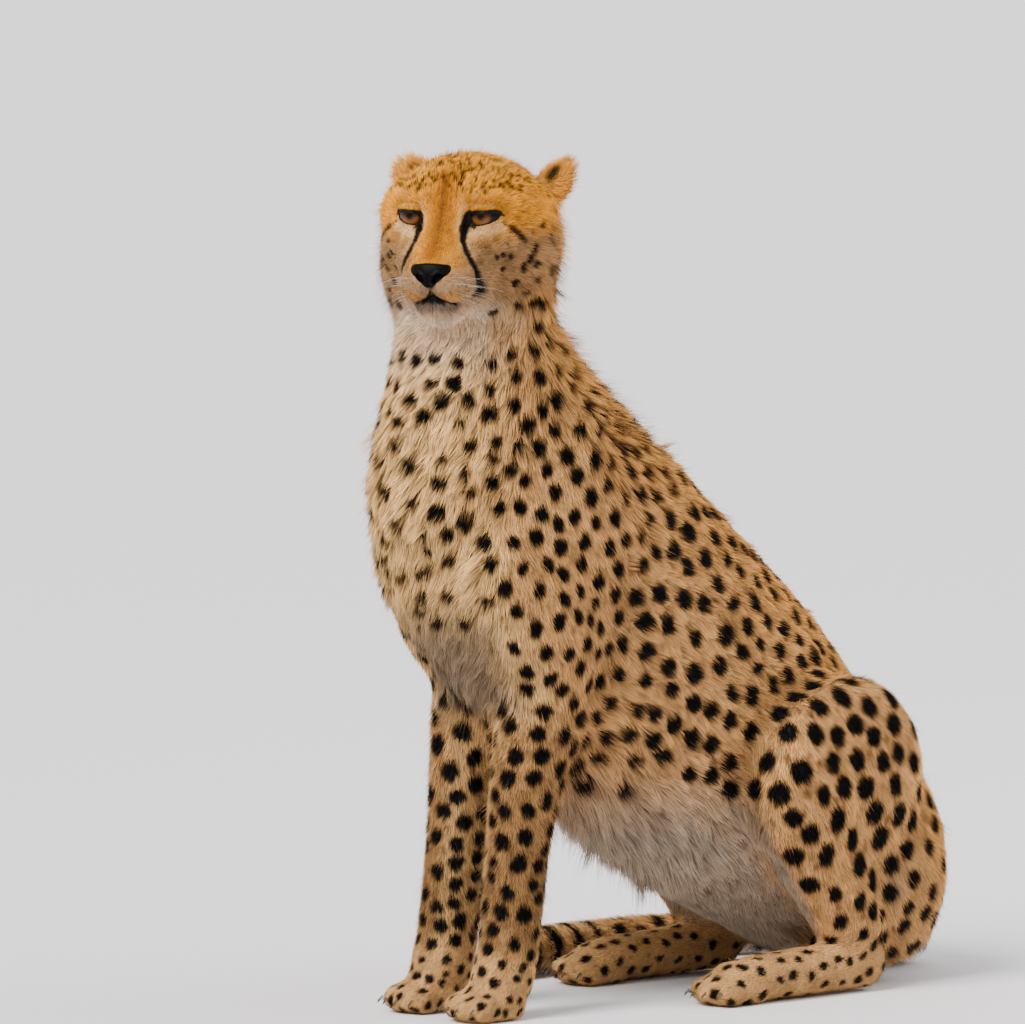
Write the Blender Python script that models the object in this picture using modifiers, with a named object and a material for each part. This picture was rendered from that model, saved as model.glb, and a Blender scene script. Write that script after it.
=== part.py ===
"""A sitting cheetah, life size, as a still museum model.

The body is modelled whole, as overlapping muscles and lofted limbs that are fused and smoothed,
and is then parted by thin cuts into the parts that a person would name.

Frame: metres, +Z up, the animal faces -Y and its left side is +X.
The body is laid out from a point on the floor between the forepaws, and at the end
everything is moved so that the origin is the centre of the model's base.
"""

import math

import bmesh
import bpy
from mathutils import Matrix, Vector

# ---------------------------------------------------------------- driving dimensions (metres)
GAP = 0.0004  # the thin cut between two neighbouring parts

HEAD_CENTRE = Vector((0.012, -0.004, 0.852))  # middle of the skull, level with the eyes
HEAD_YAW = math.radians(30)  # the head looks to the animal's left
HEAD_PITCH = math.radians(3)  # and a little down

EYE_SPREAD = 0.039  # half the distance between the eyes
EYE_RADIUS = 0.0172
EAR_LENGTH = 0.042
EAR_WIDTH = 0.056
EAR_WALL = 0.0055

PAW_SPREAD = 0.051  # half the distance between the forepaws
HOCK_SPREAD = 0.116  # half the distance between the hind feet
TOES = 4
CLAW_LENGTH = 0.013

SIDES = {"left": 1, "right": -1}

# Torso stations from the throat to the seat: the front or belly point and the nape or back point
# in the side view (y, z), and the half width.
TORSO = [
    ((-0.055, 0.786), (0.090, 0.818), 0.075),
    ((-0.074, 0.722), (0.113, 0.747), 0.081),
    ((-0.094, 0.652), (0.157, 0.694), 0.090),
    ((-0.113, 0.572), (0.231, 0.628), 0.102),
    ((-0.105, 0.492), (0.304, 0.564), 0.108),
    ((-0.057, 0.405), (0.385, 0.492), 0.111),
    ((0.050, 0.290), (0.462, 0.426), 0.110),
    ((0.155, 0.186), (0.528, 0.356), 0.107),
    ((0.265, 0.118), (0.582, 0.278), 0.101),
    ((0.375, 0.064), (0.618, 0.202), 0.097),
    ((0.470, 0.020), (0.626, 0.120), 0.090),
    ((0.530, -0.004), (0.600, 0.040), 0.060),
]

# Foreleg stations from the upper arm to the wrist: centre (x, y, z), half width, half depth.
FORELEG = [
    ((0.066, 0.080, 0.420), 0.046, 0.066),
    ((0.060, 0.070, 0.345), 0.043, 0.058),
    ((0.052, 0.053, 0.285), 0.039, 0.048),
    ((0.050, 0.042, 0.230), 0.035, 0.041),
    ((0.050, 0.034, 0.178), 0.033, 0.037),
    ((0.050, 0.028, 0.125), 0.033, 0.036),
    ((0.051, 0.020, 0.075), 0.033, 0.035),
    ((0.051, 0.010, 0.035), 0.032, 0.036),
]

# Shank from inside the knee to the heel.
SHANK = [
    ((0.118, 0.364, 0.262), 0.044, 0.052),
    ((0.120, 0.390, 0.190), 0.044, 0.060),
    ((0.119, 0.428, 0.112), 0.036, 0.050),
    ((0.117, 0.462, 0.052), 0.027, 0.036),
]

# Hind foot from the heel to the ball of the toes, lying on the floor.
HIND_FOOT = [
    ((0.117, 0.496, 0.036), 0.009, 0.011),
    ((0.117, 0.488, 0.036), 0.020, 0.027),
    ((0.117, 0.470, 0.035), 0.025, 0.034),
    ((0.117, 0.430, 0.029), 0.026, 0.029),
    ((0.117, 0.360, 0.026), 0.029, 0.027),
    ((0.117, 0.300, 0.025), 0.033, 0.026),
]

# Tail from the seat, back and round to the animal's right, lying on the floor: centre, radius.
TAIL = [
    ((0.000, 0.585, 0.130), 0.046),
    ((-0.004, 0.632, 0.062), 0.040),
    ((-0.040, 0.664, 0.033), 0.034),
    ((-0.110, 0.664, 0.029), 0.030),
    ((-0.178, 0.626, 0.027), 0.028),
    ((-0.222, 0.560, 0.026), 0.027),
    ((-0.240, 0.480, 0.026), 0.027),
    ((-0.240, 0.395, 0.026), 0.027),
    ((-0.226, 0.315, 0.027), 0.028),
    ((-0.204, 0.245, 0.027), 0.028),
    ((-0.186, 0.195, 0.020), 0.016),
]
TAIL_CUTS = (3, 5, 7)  # stations where the tail is parted into lengths

# ---------------------------------------------------------------- materials
COAT = ((0.62, 0.33, 0.12), 0.85, 0.0)
PALE_COAT = ((0.66, 0.50, 0.34), 0.85, 0.0)
BARE_SKIN = ((0.012, 0.011, 0.012), 0.35, 0.0)
EYE_AMBER = ((0.42, 0.17, 0.03), 0.08, 0.0)
HORN = ((0.06, 0.045, 0.035), 0.35, 0.0)


def material(name, look):
    colour, roughness, metallic = look
    made = bpy.data.materials.get(name) or bpy.data.materials.new(name)
    made.use_nodes = True
    shader = made.node_tree.nodes["Principled BSDF"]
    shader.inputs["Base Color"].default_value = (*colour, 1)
    shader.inputs["Roughness"].default_value = roughness
    shader.inputs["Metallic"].default_value = metallic
    made.diffuse_color = (*colour, 1)
    return made


# ---------------------------------------------------------------- modelling tools
def new_object(name, bm):
    mesh = bpy.data.meshes.new(name)
    bm.to_mesh(mesh)
    bm.free()
    made = bpy.data.objects.new(name, mesh)
    bpy.context.scene.collection.objects.link(made)
    return made


def head_matrix():
    """From head space (left, back, up from the middle of the skull) to the body's frame."""
    turn = Matrix.Rotation(HEAD_YAW, 4, "Z") @ Matrix.Rotation(HEAD_PITCH, 4, "X")
    return Matrix.Translation(HEAD_CENTRE) @ turn


def muscle(centre, radii, turn=(0, 0, 0), space=None, detail=4):
    """An ellipsoid with its own turn about X, Y and Z, in degrees."""
    bm = bmesh.new()
    bmesh.ops.create_icosphere(bm, subdivisions=detail, radius=1)
    rotation = Matrix.Identity(4)
    for axis, degrees in zip("XYZ", turn):
        rotation = Matrix.Rotation(math.radians(degrees), 4, axis) @ rotation
    place = Matrix.Translation(centre) @ rotation @ Matrix.Diagonal((*radii, 1))
    bmesh.ops.transform(bm, matrix=(space or Matrix.Identity(4)) @ place, verts=bm.verts)
    return new_object("muscle", bm)


def mirrored(point, side):
    return Vector((point[0] * side, point[1], point[2]))


def smooth_path(points, steps):
    """Points on a Catmull-Rom curve through the given tuples, steps to a span."""
    ends = [Vector(points[0]) * 2 - Vector(points[1]), Vector(points[-1]) * 2 - Vector(points[-2])]
    line = [ends[0], *map(Vector, points), ends[1]]
    found = []
    for a, b, c, d in zip(line, line[1:], line[2:], line[3:]):
        for k in range(steps):
            t = k / steps
            found.append(0.5 * (2 * b + (c - a) * t + (2 * a - 5 * b + 4 * c - d) * t**2
                                + (3 * b - a - 3 * c + d) * t**3))
    return [*found, Vector(points[-1])]


def loft(rings):
    """A closed solid through rings of equally many points, with a rounded-over centre at each end."""
    bm = bmesh.new()
    made = [[bm.verts.new(p) for p in ring] for ring in rings]
    count = len(made[0])
    for low, high in zip(made, made[1:]):
        for i in range(count):
            j = (i + 1) % count
            bm.faces.new((low[i], low[j], high[j], high[i]))
    for ring in (made[0], made[-1]):
        centre = bm.verts.new(sum((v.co for v in ring), Vector()) / count)
        for i in range(count):
            bm.faces.new((centre, ring[i], ring[(i + 1) % count]))
    bmesh.ops.recalc_face_normals(bm, faces=bm.faces)
    return new_object("loft", bm)


def oval(centre, across, along, sides=24):
    """A ring of points round centre, with its half axes as vectors."""
    turns = (2 * math.pi * i / sides for i in range(sides))
    return [centre + across * math.cos(a) + along * math.sin(a) for a in turns]


def limb(stations, side=1, steps=4, wide=Vector((1, 0, 0)), sides=24):
    """A loft of ovals along a limb. Each station is (centre, half width, half depth)."""
    path = smooth_path([(*mirrored(c, side),) for c, _, _ in stations], steps)
    sizes = smooth_path([(w, d, 0) for _, w, d in stations], steps)
    rings = []
    for i, (point, size) in enumerate(zip(path, sizes)):
        ahead = (path[min(i + 1, len(path) - 1)] - path[max(i - 1, 0)]).normalized()
        across = (wide - ahead * wide.dot(ahead)).normalized()
        rings.append(oval(point, across * size.x, ahead.cross(across) * size.y, sides))
    return loft(rings)


def round_limb(stations, steps=5):
    """A loft of circles along a path. Each station is (centre, radius)."""
    return limb([(c, r, r) for c, r in stations], steps=steps, wide=Vector((0, 0, 1)))


def torso():
    """The neck, chest, belly and seat as one loft, narrower at the back than at the belly."""
    fronts = smooth_path([(0, *front) for front, _, _ in TORSO], 4)
    backs = smooth_path([(0, *back) for _, back, _ in TORSO], 4)
    widths = smooth_path([(w, 0, 0) for _, _, w in TORSO], 4)
    rings = []
    for front, back, width in zip(fronts, backs, widths):
        centre = (front + back) / 2
        rings.append(oval(centre, Vector((width.x, 0, 0)), (back - front) / 2, sides=36))
    return loft(rings)


def applied(obj):
    """The object with its modifiers turned into mesh."""
    mesh = bpy.data.meshes.new_from_object(obj.evaluated_get(bpy.context.evaluated_depsgraph_get()))
    made = bpy.data.objects.new(obj.name, mesh)
    bpy.context.scene.collection.objects.link(made)
    bpy.data.objects.remove(obj)
    return made


def joined(objects):
    bm = bmesh.new()
    for obj in objects:
        bm.from_mesh(obj.data)
        bpy.data.objects.remove(obj)
    return new_object("joined", bm)


def fuse(objects, voxel, smoothing, triangles):
    """One smooth skin over overlapping shapes, brought down to about the number of triangles."""
    whole = joined(objects)
    remesh = whole.modifiers.new("Remesh", "REMESH")
    remesh.mode = "VOXEL"
    remesh.voxel_size = voxel
    smooth = whole.modifiers.new("Smooth", "SMOOTH")
    smooth.factor = 0.5
    smooth.iterations = smoothing
    whole = applied(whole)
    reduce = whole.modifiers.new("Decimate", "DECIMATE")
    reduce.ratio = min(1, triangles / (2 * len(whole.data.polygons)))
    reduce.use_collapse_triangulate = True
    return applied(whole)


def largest_piece(obj):
    """Drops the crumbs that a cut leaves beside the main piece."""
    bm = bmesh.new()
    bm.from_mesh(obj.data)
    left, pieces = set(bm.verts), []
    while left:
        piece, edge = set(), [next(iter(left))]
        while edge:
            vert = edge.pop()
            if vert in piece:
                continue
            piece.add(vert)
            edge += [e.other_vert(vert) for e in vert.link_edges]
        pieces.append(piece)
        left -= piece
    main = max(pieces, key=len)
    bmesh.ops.delete(bm, geom=[v for v in bm.verts if v not in main], context="VERTS")
    bmesh.ops.remove_doubles(bm, verts=bm.verts, dist=0.00002)
    bmesh.ops.dissolve_degenerate(bm, edges=bm.edges, dist=0.00002)
    bmesh.ops.triangulate(bm, faces=bm.faces)
    bm.to_mesh(obj.data)
    bm.free()
    return obj


def outward(obj):
    """The object with its faces turned to the outside."""
    bm = bmesh.new()
    bm.from_mesh(obj.data)
    bmesh.ops.recalc_face_normals(bm, faces=bm.faces)
    bm.to_mesh(obj.data)
    bm.free()
    return obj


def boolean(obj, cutter, operation):
    cut = obj.modifiers.new("Boolean", "BOOLEAN")
    cut.operation = operation
    cut.object = cutter
    return applied(obj)


def copy_of(obj, name="copy"):
    made = bpy.data.objects.new(name, obj.data.copy())
    bpy.context.scene.collection.objects.link(made)
    return made


def swollen(obj, by):
    """A copy of the object with every point moved out along its normal."""
    made = copy_of(obj)
    for vert in made.data.vertices:
        vert.co += vert.normal * by
    return made


def box(low, high, space=None):
    """A box between two corners."""
    low, high = Vector(map(min, low, high)), Vector(map(max, low, high))
    bm = bmesh.new()
    bmesh.ops.create_cube(bm, size=1)
    place = Matrix.Translation((low + high) / 2) @ Matrix.Diagonal((*(high - low), 1))
    bmesh.ops.transform(bm, matrix=(space or Matrix.Identity(4)) @ place, verts=bm.verts)
    return new_object("box", bm)


def part_off(form, region):
    """Cuts the part inside the region from the form. Returns (part, what is left)."""
    part = boolean(copy_of(form), region, "INTERSECT")
    grown = swollen(region, GAP)
    rest = boolean(form, grown, "DIFFERENCE")
    for cutter in (region, grown):
        bpy.data.objects.remove(cutter)
    return largest_piece(part), largest_piece(rest)


def finish(obj, name, look_name, look):
    obj.name = name
    obj.data.name = name
    obj.data.materials.clear()
    obj.data.materials.append(material(look_name, look))
    obj.data.shade_smooth()
    obj.data.set_sharp_from_angle(angle=math.radians(40))
    return obj


# ---------------------------------------------------------------- the forms
def ruff(space):
    """The long fur of the nape and throat, shared by the head and the neck."""
    return [
        muscle((0, 0.052, -0.030), (0.084, 0.058, 0.080), space=space),
        muscle((0, 0.020, -0.086), (0.093, 0.076, 0.066), space=space),
    ]


def haunch(side):
    return muscle((0.078 * side, 0.512, 0.150), (0.064, 0.100, 0.140), (20, 0, 0))


def body_shapes(space):
    """Everything but the head and tail, as overlapping shapes."""
    shapes = [torso(), *ruff(space)]
    for side in SIDES.values():
        shapes += [
            limb(FORELEG, side),
            limb(SHANK, side),
            limb(HIND_FOOT, side),
            haunch(side),
            # shoulder blade, point of the shoulder, upper arm
            muscle((0.068 * side, 0.075, 0.555), (0.044, 0.060, 0.125), (-26, 0, 0)),
            muscle((0.068 * side, -0.004, 0.474), (0.043, 0.052, 0.070), (12, 0, 0)),
            muscle((0.080 * side, 0.046, 0.425), (0.040, 0.066, 0.088), (28, 0, 0)),
            # thigh and knee
            muscle((0.107 * side, 0.442, 0.236), (0.055, 0.118, 0.116), (14, 0, 0)),
            muscle((0.119 * side, 0.368, 0.238), (0.044, 0.058, 0.090), (-12, 0, 0)),
        ]
    return shapes


def head_shapes(space):
    """The skull, muzzle and cheeks in head space: left, back, up from the skull's middle."""
    shapes = [
        torso(),
        *ruff(space),
        muscle((0, 0.008, 0.004), (0.084, 0.084, 0.064), space=space),  # cranium
        muscle((0, -0.034, 0.006), (0.068, 0.044, 0.052), space=space),  # forehead
        muscle((0, -0.056, -0.026), (0.036, 0.048, 0.036), (26, 0, 0), space=space),  # bridge
        muscle((0, -0.089, -0.051), (0.033, 0.034, 0.024), space=space),  # muzzle
        muscle((0, -0.066, -0.074), (0.038, 0.042, 0.034), space=space),  # mouth
        muscle((0, -0.076, -0.091), (0.026, 0.028, 0.018), space=space),  # chin
        muscle((0, -0.028, -0.070), (0.066, 0.056, 0.044), space=space),  # jaw
    ]
    for side in SIDES.values():
        shapes += [
            # whisker pad, upper jaw, cheek bone, cheek, temple, brow
            muscle((0.020 * side, -0.088, -0.063), (0.022, 0.030, 0.021), space=space),
            muscle((0.030 * side, -0.056, -0.038), (0.028, 0.036, 0.034), space=space),
            muscle((0.052 * side, -0.028, -0.028), (0.034, 0.038, 0.036), space=space),
            muscle((0.060 * side, 0.004, -0.050), (0.035, 0.052, 0.056), space=space),
            muscle((0.058 * side, 0.002, 0.002), (0.034, 0.054, 0.044), space=space),
            muscle((0.034 * side, -0.048, 0.022), (0.030, 0.024, 0.017), space=space),
        ]
    return shapes


def toes(ball, side, width):
    """Where each toe is and how far it turns out: they fan out in front of the ball of the foot."""
    x, y = ball
    for i in range(TOES):
        across = 2 * i / (TOES - 1) - 1
        middle = Vector((x * side + across * width * 0.70, y - 0.036 + 0.010 * abs(across), 0.015))
        yield middle, 8 * across


def paw_shapes(ball, side, width):
    """The ball of the foot with its toes."""
    shapes = [muscle((ball[0] * side, ball[1], 0.018), (width, 0.040, 0.030))]
    for middle, turn in toes(ball, side, width):
        shapes.append(muscle(middle, (0.0125, 0.024, 0.0170), (0, 0, turn)))
    return shapes


def ear(side, space):
    """A round cup of even thickness. It stands out sideways, with its back to the front."""
    along = Vector((0.86 * side, 0.14, 0.42)).normalized()
    opening = Vector((0.50 * side, 0.80, -0.45))
    opening = (opening - along * opening.dot(along)).normalized()
    across = along.cross(opening)
    root = Vector((0.063 * side, 0.054, 0.030))
    rows, columns = 7, 6
    bm = bmesh.new()
    grid = []
    for r in range(rows + 1):
        t = r / rows
        half = EAR_WIDTH / 2 * (1 - (max(0.0, t - 0.35) / 0.68) ** 3) ** 0.5
        row = []
        for c in range(columns + 1):
            turn = (2 * c / columns - 1) * math.radians(80 - 30 * t)
            cup = 0.85 * half * (1 - math.cos(turn)) - 0.004 * t
            point = root + along * EAR_LENGTH * t + across * half * math.sin(turn) + opening * cup
            row.append(bm.verts.new(point))
        grid.append(row)
    for low, high in zip(grid, grid[1:]):
        for c in range(columns):
            bm.faces.new((low[c], low[c + 1], high[c + 1], high[c]))
    bmesh.ops.transform(bm, matrix=space, verts=bm.verts)
    made = new_object("ear", bm)
    wall = made.modifiers.new("Solidify", "SOLIDIFY")
    wall.thickness = EAR_WALL
    wall.offset = 0
    return outward(applied(made))


def eyeball(side, space, radius):
    bm = bmesh.new()
    bmesh.ops.create_uvsphere(bm, u_segments=14, v_segments=8, radius=radius)
    place = Matrix.Translation((EYE_SPREAD * side, -0.049, 0.003)) @ Matrix.Rotation(math.radians(90), 4, "X")
    bmesh.ops.transform(bm, matrix=space @ place, verts=bm.verts)
    return new_object("eye", bm)


def claw(middle, turn):
    """A short curved cone that leaves the toe forwards and bends down."""
    stations = []
    for k in range(3):
        t = k / 2
        bend = math.radians(-6 + 34 * t)
        reach = Vector((0, -CLAW_LENGTH * t * math.cos(bend), -CLAW_LENGTH * t * math.sin(bend)))
        stations.append((reach, 0.0023 * (1 - 0.84 * t), 0.0034 * (1 - 0.84 * t)))
    rings, wide = [], Vector((1, 0, 0))
    for i, (point, width, depth) in enumerate(stations):
        ahead = stations[min(i + 1, 2)][0] - stations[max(i - 1, 0)][0]
        up = ahead.normalized().cross(wide)
        rings.append(oval(point, wide * width, up * depth, sides=4))
    made = loft(rings)
    leave = Matrix.Translation((0, -0.019, 0.001))
    made.data.transform(Matrix.Translation(middle) @ Matrix.Rotation(math.radians(turn), 4, "Z") @ leave)
    return made


# ---------------------------------------------------------------- the parting
def beyond(point, normal):
    """A large box that fills the space on the normal's side of a plane across the body."""
    turn = Vector(normal).normalized().to_track_quat("Z", "Y").to_matrix().to_4x4()
    return box((-1, -1, 0), (1, 1, 1), Matrix.Translation(point) @ turn)


def sleeve(stations, side, loose):
    """A loft round a limb, wider than the limb itself."""
    return limb([(c, w * loose, d * loose) for c, w, d in stations], side, steps=1, sides=12)


def on_floor(form):
    """The form with flats where it would go below the floor."""
    ground = box((-2, -2, -1), (2, 2, 0))
    form = boolean(form, ground, "DIFFERENCE")
    bpy.data.objects.remove(ground)
    return form


def clear_of(obj, others):
    """The object less its neighbours, with the gap of a thin cut."""
    for other in others:
        grown = swollen(other, GAP)
        obj = boolean(obj, grown, "DIFFERENCE")
        bpy.data.objects.remove(grown)
    return largest_piece(obj)


def paw(shapes, triangles, region):
    form = on_floor(fuse(shapes, 0.0032, 6, triangles))
    part, rest = part_off(form, region)
    bpy.data.objects.remove(rest)
    return part


# Where the trunk is parted: a point on each plane and the way out of the part that is taken off.
SKULL_BASE = (Vector((0, 0.020, 0.768)), Vector((0, -0.38, 0.92)))
NECK_BASE = ((0, 0.030, 0.668), (0, -0.19, 0.98))
RUMP_FRONT = ((0, 0.375, 0.240), (0, 0.76, -0.65))
BELLY_FRONT = ((0, 0.135, 0.455), (0, 0.74, -0.67))

# Each kind of foot: where its ball is (x, y), and its half width.
FEET = {
    "forepaw": ((PAW_SPREAD, 0.000), 0.031),
    "hind_foot": ((HOCK_SPREAD, 0.290), 0.032),
}
FEET_BOXES = {  # the corners of the box that holds each foot, on the left side
    "forepaw": ((0.002, -0.2, -0.2), (0.2, 0.095, 0.074)),
    "hind_foot": ((0.045, 0.1, -0.2), (0.2, 0.500, 0.068)),
}
FOOT_TRIANGLES = {"forepaw": 410, "hind_foot": 460}
FOREARM_SLEEVE = [
    ((0.050, 0.036, -0.020), 0.040, 0.050), *reversed(FORELEG[2:7]), ((0.056, 0.060, 0.312), 0.041, 0.052),
]


def foot(kind, side, body):
    """A foot modelled finely, and the body without it."""
    ball, width = FEET[kind]
    low, high = FEET_BOXES[kind]
    region = box((low[0] * side, *low[1:]), (high[0] * side, *high[1:]))
    if kind == "forepaw":
        shapes = [limb(FORELEG, side)]
    else:
        shapes = [limb(SHANK, side), limb(HIND_FOOT, side), haunch(side)]
    made = paw(shapes + paw_shapes(ball, side, width), FOOT_TRIANGLES[kind], copy_of(region))
    spare, body = part_off(body, region)
    bpy.data.objects.remove(spare)
    return made, body


def part_leg(parts, name, side, body):
    """Takes the limbs of one side off the body, from the feet up. Returns the rest."""
    parts[f"forepaw_{name}"], body = foot("forepaw", side, body)
    parts[f"hind_foot_{name}"], body = foot("hind_foot", side, body)
    regions = {
        "forearm": sleeve(FOREARM_SLEEVE, side, 1.25),
        "upper_arm": muscle((0.128 * side, 0.052, 0.455), (0.090, 0.098, 0.178), (-4, 0, 0), detail=2),
        "thigh": muscle((0.140 * side, 0.428, 0.238), (0.090, 0.136, 0.122), (14, 0, 0), detail=2),
        "shank": sleeve(SHANK, side, 1.20),
    }
    for kind, region in regions.items():
        parts[f"{kind}_{name}"], body = part_off(body, region)
    return body


def part_trunk(parts, body):
    spare, body = part_off(body, beyond(*SKULL_BASE))
    bpy.data.objects.remove(spare)
    parts["neck"], body = part_off(body, beyond(*NECK_BASE))
    parts["rump"], body = part_off(body, beyond(*RUMP_FRONT))
    parts["belly"], parts["chest"] = part_off(body, beyond(*BELLY_FRONT))


def make_tail(parts):
    """The tail, in lengths."""
    tail = clear_of(on_floor(fuse([round_limb(TAIL)], 0.006, 4, 280)), [parts["rump"]])
    for number, station in enumerate(TAIL_CUTS, 1):
        here, ahead = Vector(TAIL[station][0]), Vector(TAIL[station + 1][0])
        turn = (here - ahead).to_track_quat("Z", "Y").to_matrix().to_4x4()
        cut = box((-0.12, -0.12, 0), (0.12, 0.12, 0.5), Matrix.Translation(here) @ turn)
        parts[f"tail_{number}"], tail = part_off(tail, cut)
    parts[f"tail_{len(TAIL_CUTS) + 1}"] = tail


def make_head(parts, space):
    """The skull with its eyes, nose and ears."""
    head = fuse(head_shapes(space), 0.0035, 8, 1710)
    point, normal = SKULL_BASE
    head, spare = part_off(head, beyond(point + normal * GAP, normal))
    bpy.data.objects.remove(spare)
    for name, side in SIDES.items():
        parts[f"eye_{name}"] = eyeball(side, space, EYE_RADIUS)
        socket = eyeball(side, space, EYE_RADIUS + GAP)
        opening = muscle((0.042 * side, -0.070, 0.003), (0.0165, 0.020, 0.0100), (0, 0, 16 * side), space, 3)
        for cutter in (socket, opening):
            head = boolean(head, cutter, "DIFFERENCE")
            bpy.data.objects.remove(cutter)
    pad = muscle((0, -0.126, -0.053), (0.024, 0.021, 0.016), (-20, 0, 0), space, 2)
    parts["nose"], parts["head"] = part_off(head, pad)
    for name, side in SIDES.items():
        parts[f"ear_{name}"] = clear_of(ear(side, space), [parts["head"]])


def make_claws(parts):
    for name, side in SIDES.items():
        for kind, (ball, width) in FEET.items():
            for number, (middle, turn) in enumerate(toes(ball, side, width), 1):
                made = clear_of(claw(middle, turn), [parts[f"{kind}_{name}"]])
                parts[f"claw_{kind}_{name}_{number}"] = made


LOOKS = {
    "nose": ("bare_skin", BARE_SKIN),
    "eye": ("eye", EYE_AMBER),
    "claw": ("horn", HORN),
    "chest": ("pale_coat", PALE_COAT),
    "belly": ("pale_coat", PALE_COAT),
}


def centre_on_base(parts):
    """Moves the model so that the origin is the middle of its base."""
    points = [v.co for part in parts.values() for v in part.data.vertices]
    middle = [(min(p[i] for p in points) + max(p[i] for p in points)) / 2 for i in (0, 1)]
    for part in parts.values():
        part.data.transform(Matrix.Translation((-middle[0], -middle[1], 0)))


def main():
    for obj in list(bpy.data.objects):
        bpy.data.objects.remove(obj)
    space = head_matrix()
    parts = {}
    body = on_floor(fuse(body_shapes(space), 0.007, 12, 1700))
    for name, side in SIDES.items():
        body = part_leg(parts, name, side, body)
    part_trunk(parts, body)
    make_tail(parts)
    make_head(parts, space)
    make_claws(parts)
    for name, part in parts.items():
        finish(part, name, *LOOKS.get(name.split("_")[0], ("coat", COAT)))
    centre_on_base(parts)


main()
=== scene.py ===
import math

import bmesh
import bpy
import numpy as np
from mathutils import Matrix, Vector
from mathutils.bvhtree import BVHTree
from mathutils.kdtree import KDTree


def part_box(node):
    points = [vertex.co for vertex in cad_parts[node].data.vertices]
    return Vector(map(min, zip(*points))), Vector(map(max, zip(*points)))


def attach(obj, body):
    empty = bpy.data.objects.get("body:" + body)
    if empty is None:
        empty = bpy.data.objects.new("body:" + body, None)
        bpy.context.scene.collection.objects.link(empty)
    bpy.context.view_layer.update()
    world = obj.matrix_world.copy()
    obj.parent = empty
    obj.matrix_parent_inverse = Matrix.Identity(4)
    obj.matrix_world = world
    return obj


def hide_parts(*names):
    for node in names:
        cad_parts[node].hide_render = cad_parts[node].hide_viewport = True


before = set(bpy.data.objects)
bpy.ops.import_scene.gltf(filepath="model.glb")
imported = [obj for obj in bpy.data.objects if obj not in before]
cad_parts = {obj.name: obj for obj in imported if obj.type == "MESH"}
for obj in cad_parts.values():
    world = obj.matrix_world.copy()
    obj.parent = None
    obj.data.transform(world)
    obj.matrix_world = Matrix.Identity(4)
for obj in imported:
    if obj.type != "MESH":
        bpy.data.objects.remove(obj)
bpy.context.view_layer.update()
rng = np.random.default_rng(7)

# The looks of a sitting cheetah: one skin over all the nodes of flesh, with lids and lips, a coat
# of small solid tufts that lie along the body, and the same spots on the skin and on the coat.
# The frame: metres, +Z up, the body faces -Y and its left side is +X.

MM = 0.001
UP = np.array((0.0, 0.0, 1.0))

# ------------ what differs along the body
# For each kind of node, in millimetres where not said: the depth of the coat, a tuft's length and
# width, its tilt off the skin in degrees, tufts in a square centimetre, then the distance between
# spots, and a spot's half length and half breadth.
FIELDS = ("depth", "length", "width", "tilt", "dense", "spacing", "long", "broad")
REGIONS = {
    "head": (3.4, 7.2, 0.80, 22, 64.0, 10.5, 3.0, 2.6),
    "ear": (1.2, 7.0, 0.80, 18, 46.0, 60.0, 1.0, 1.0),
    "neck": (7.2, 17.0, 1.10, 27, 27.0, 27.0, 7.8, 7.4),
    "chest": (8.2, 19.0, 1.20, 27, 25.0, 25.5, 10.2, 8.8),
    "belly": (5.2, 12.5, 1.10, 24, 24.5, 30.5, 12.2, 10.6),
    "rump": (4.8, 12.0, 1.10, 24, 21.0, 32.0, 12.4, 10.6),
    "upper_arm": (4.6, 11.0, 1.05, 24, 30.0, 25.5, 10.6, 8.6),
    "forearm": (3.4, 10.0, 1.00, 27, 33.0, 29.0, 12.5, 11.2),
    "forepaw": (2.0, 6.0, 0.80, 17, 42.0, 18.0, 5.4, 4.8),
    "thigh": (4.0, 10.0, 1.05, 23, 31.0, 36.0, 16.2, 12.8),
    "shank": (3.6, 9.5, 1.00, 22, 30.0, 30.0, 12.2, 10.4),
    "hind_foot": (2.2, 6.5, 0.85, 17, 35.0, 22.0, 6.2, 5.2),
    "tail": (5.0, 13.0, 1.10, 24, 22.0, 27.0, 9.2, 8.0),
}

SKIN_VOXEL = 3.9 * MM
SWELL = 0.6 * MM  # closes the thin cuts between the nodes
FACE_CUTS = 3  # cuts across each face of the skin on the front of the head
COAT_TRIANGLES = 199_000  # the most in one piece of the coat
LOWEST = 0.3 * MM  # nothing of the coat goes below this height

# ------------ colours, linear
GOLD = np.array((0.84, 0.320, 0.018))
RUST = np.array((0.31, 0.095, 0.001))
TAN = np.array((0.72, 0.370, 0.135))
CREAM = np.array((0.94, 0.560, 0.220))
WHITE = np.array((0.82, 0.700, 0.560))
# the pale grey-white fur underneath and inside the hind legs, made darker by painted shade
GREY_WHITE_IN_PAINTED_SHADE = np.array((0.44, 0.335, 0.240))
BLACK = np.array((0.0020, 0.0015, 0.0013))
BROWN_BLACK = np.array((0.022, 0.009, 0.004))


# ------------ small tools
def ease(low, high, x):
    """From 0 at low to 1 at high, with no corner at either."""
    t = np.clip((x - low) / (high - low), 0, 1)
    return t * t * (3 - 2 * t)


def unit(v):
    v = np.asarray(v, float)
    return v / np.maximum(np.linalg.norm(v, axis=-1, keepdims=True), 1e-9)


def dot(a, b):
    return np.sum(a * b, axis=-1)


def apart(a, b):
    """The distance of each point of a from b."""
    return np.linalg.norm(a - b, axis=-1)


def along_skin(ways, normals):
    """Directions without their part that stands off the skin."""
    return unit(ways - normals * dot(ways, normals)[:, None])


def mix(a, b, weight):
    """From a to b by a weight for each row."""
    weight = np.asarray(weight)[..., None]
    return a * (1 - weight) + b * weight


WAVES = 7
WAVE_HEIGHT = 3.2  # their sum is hardly ever higher


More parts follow.
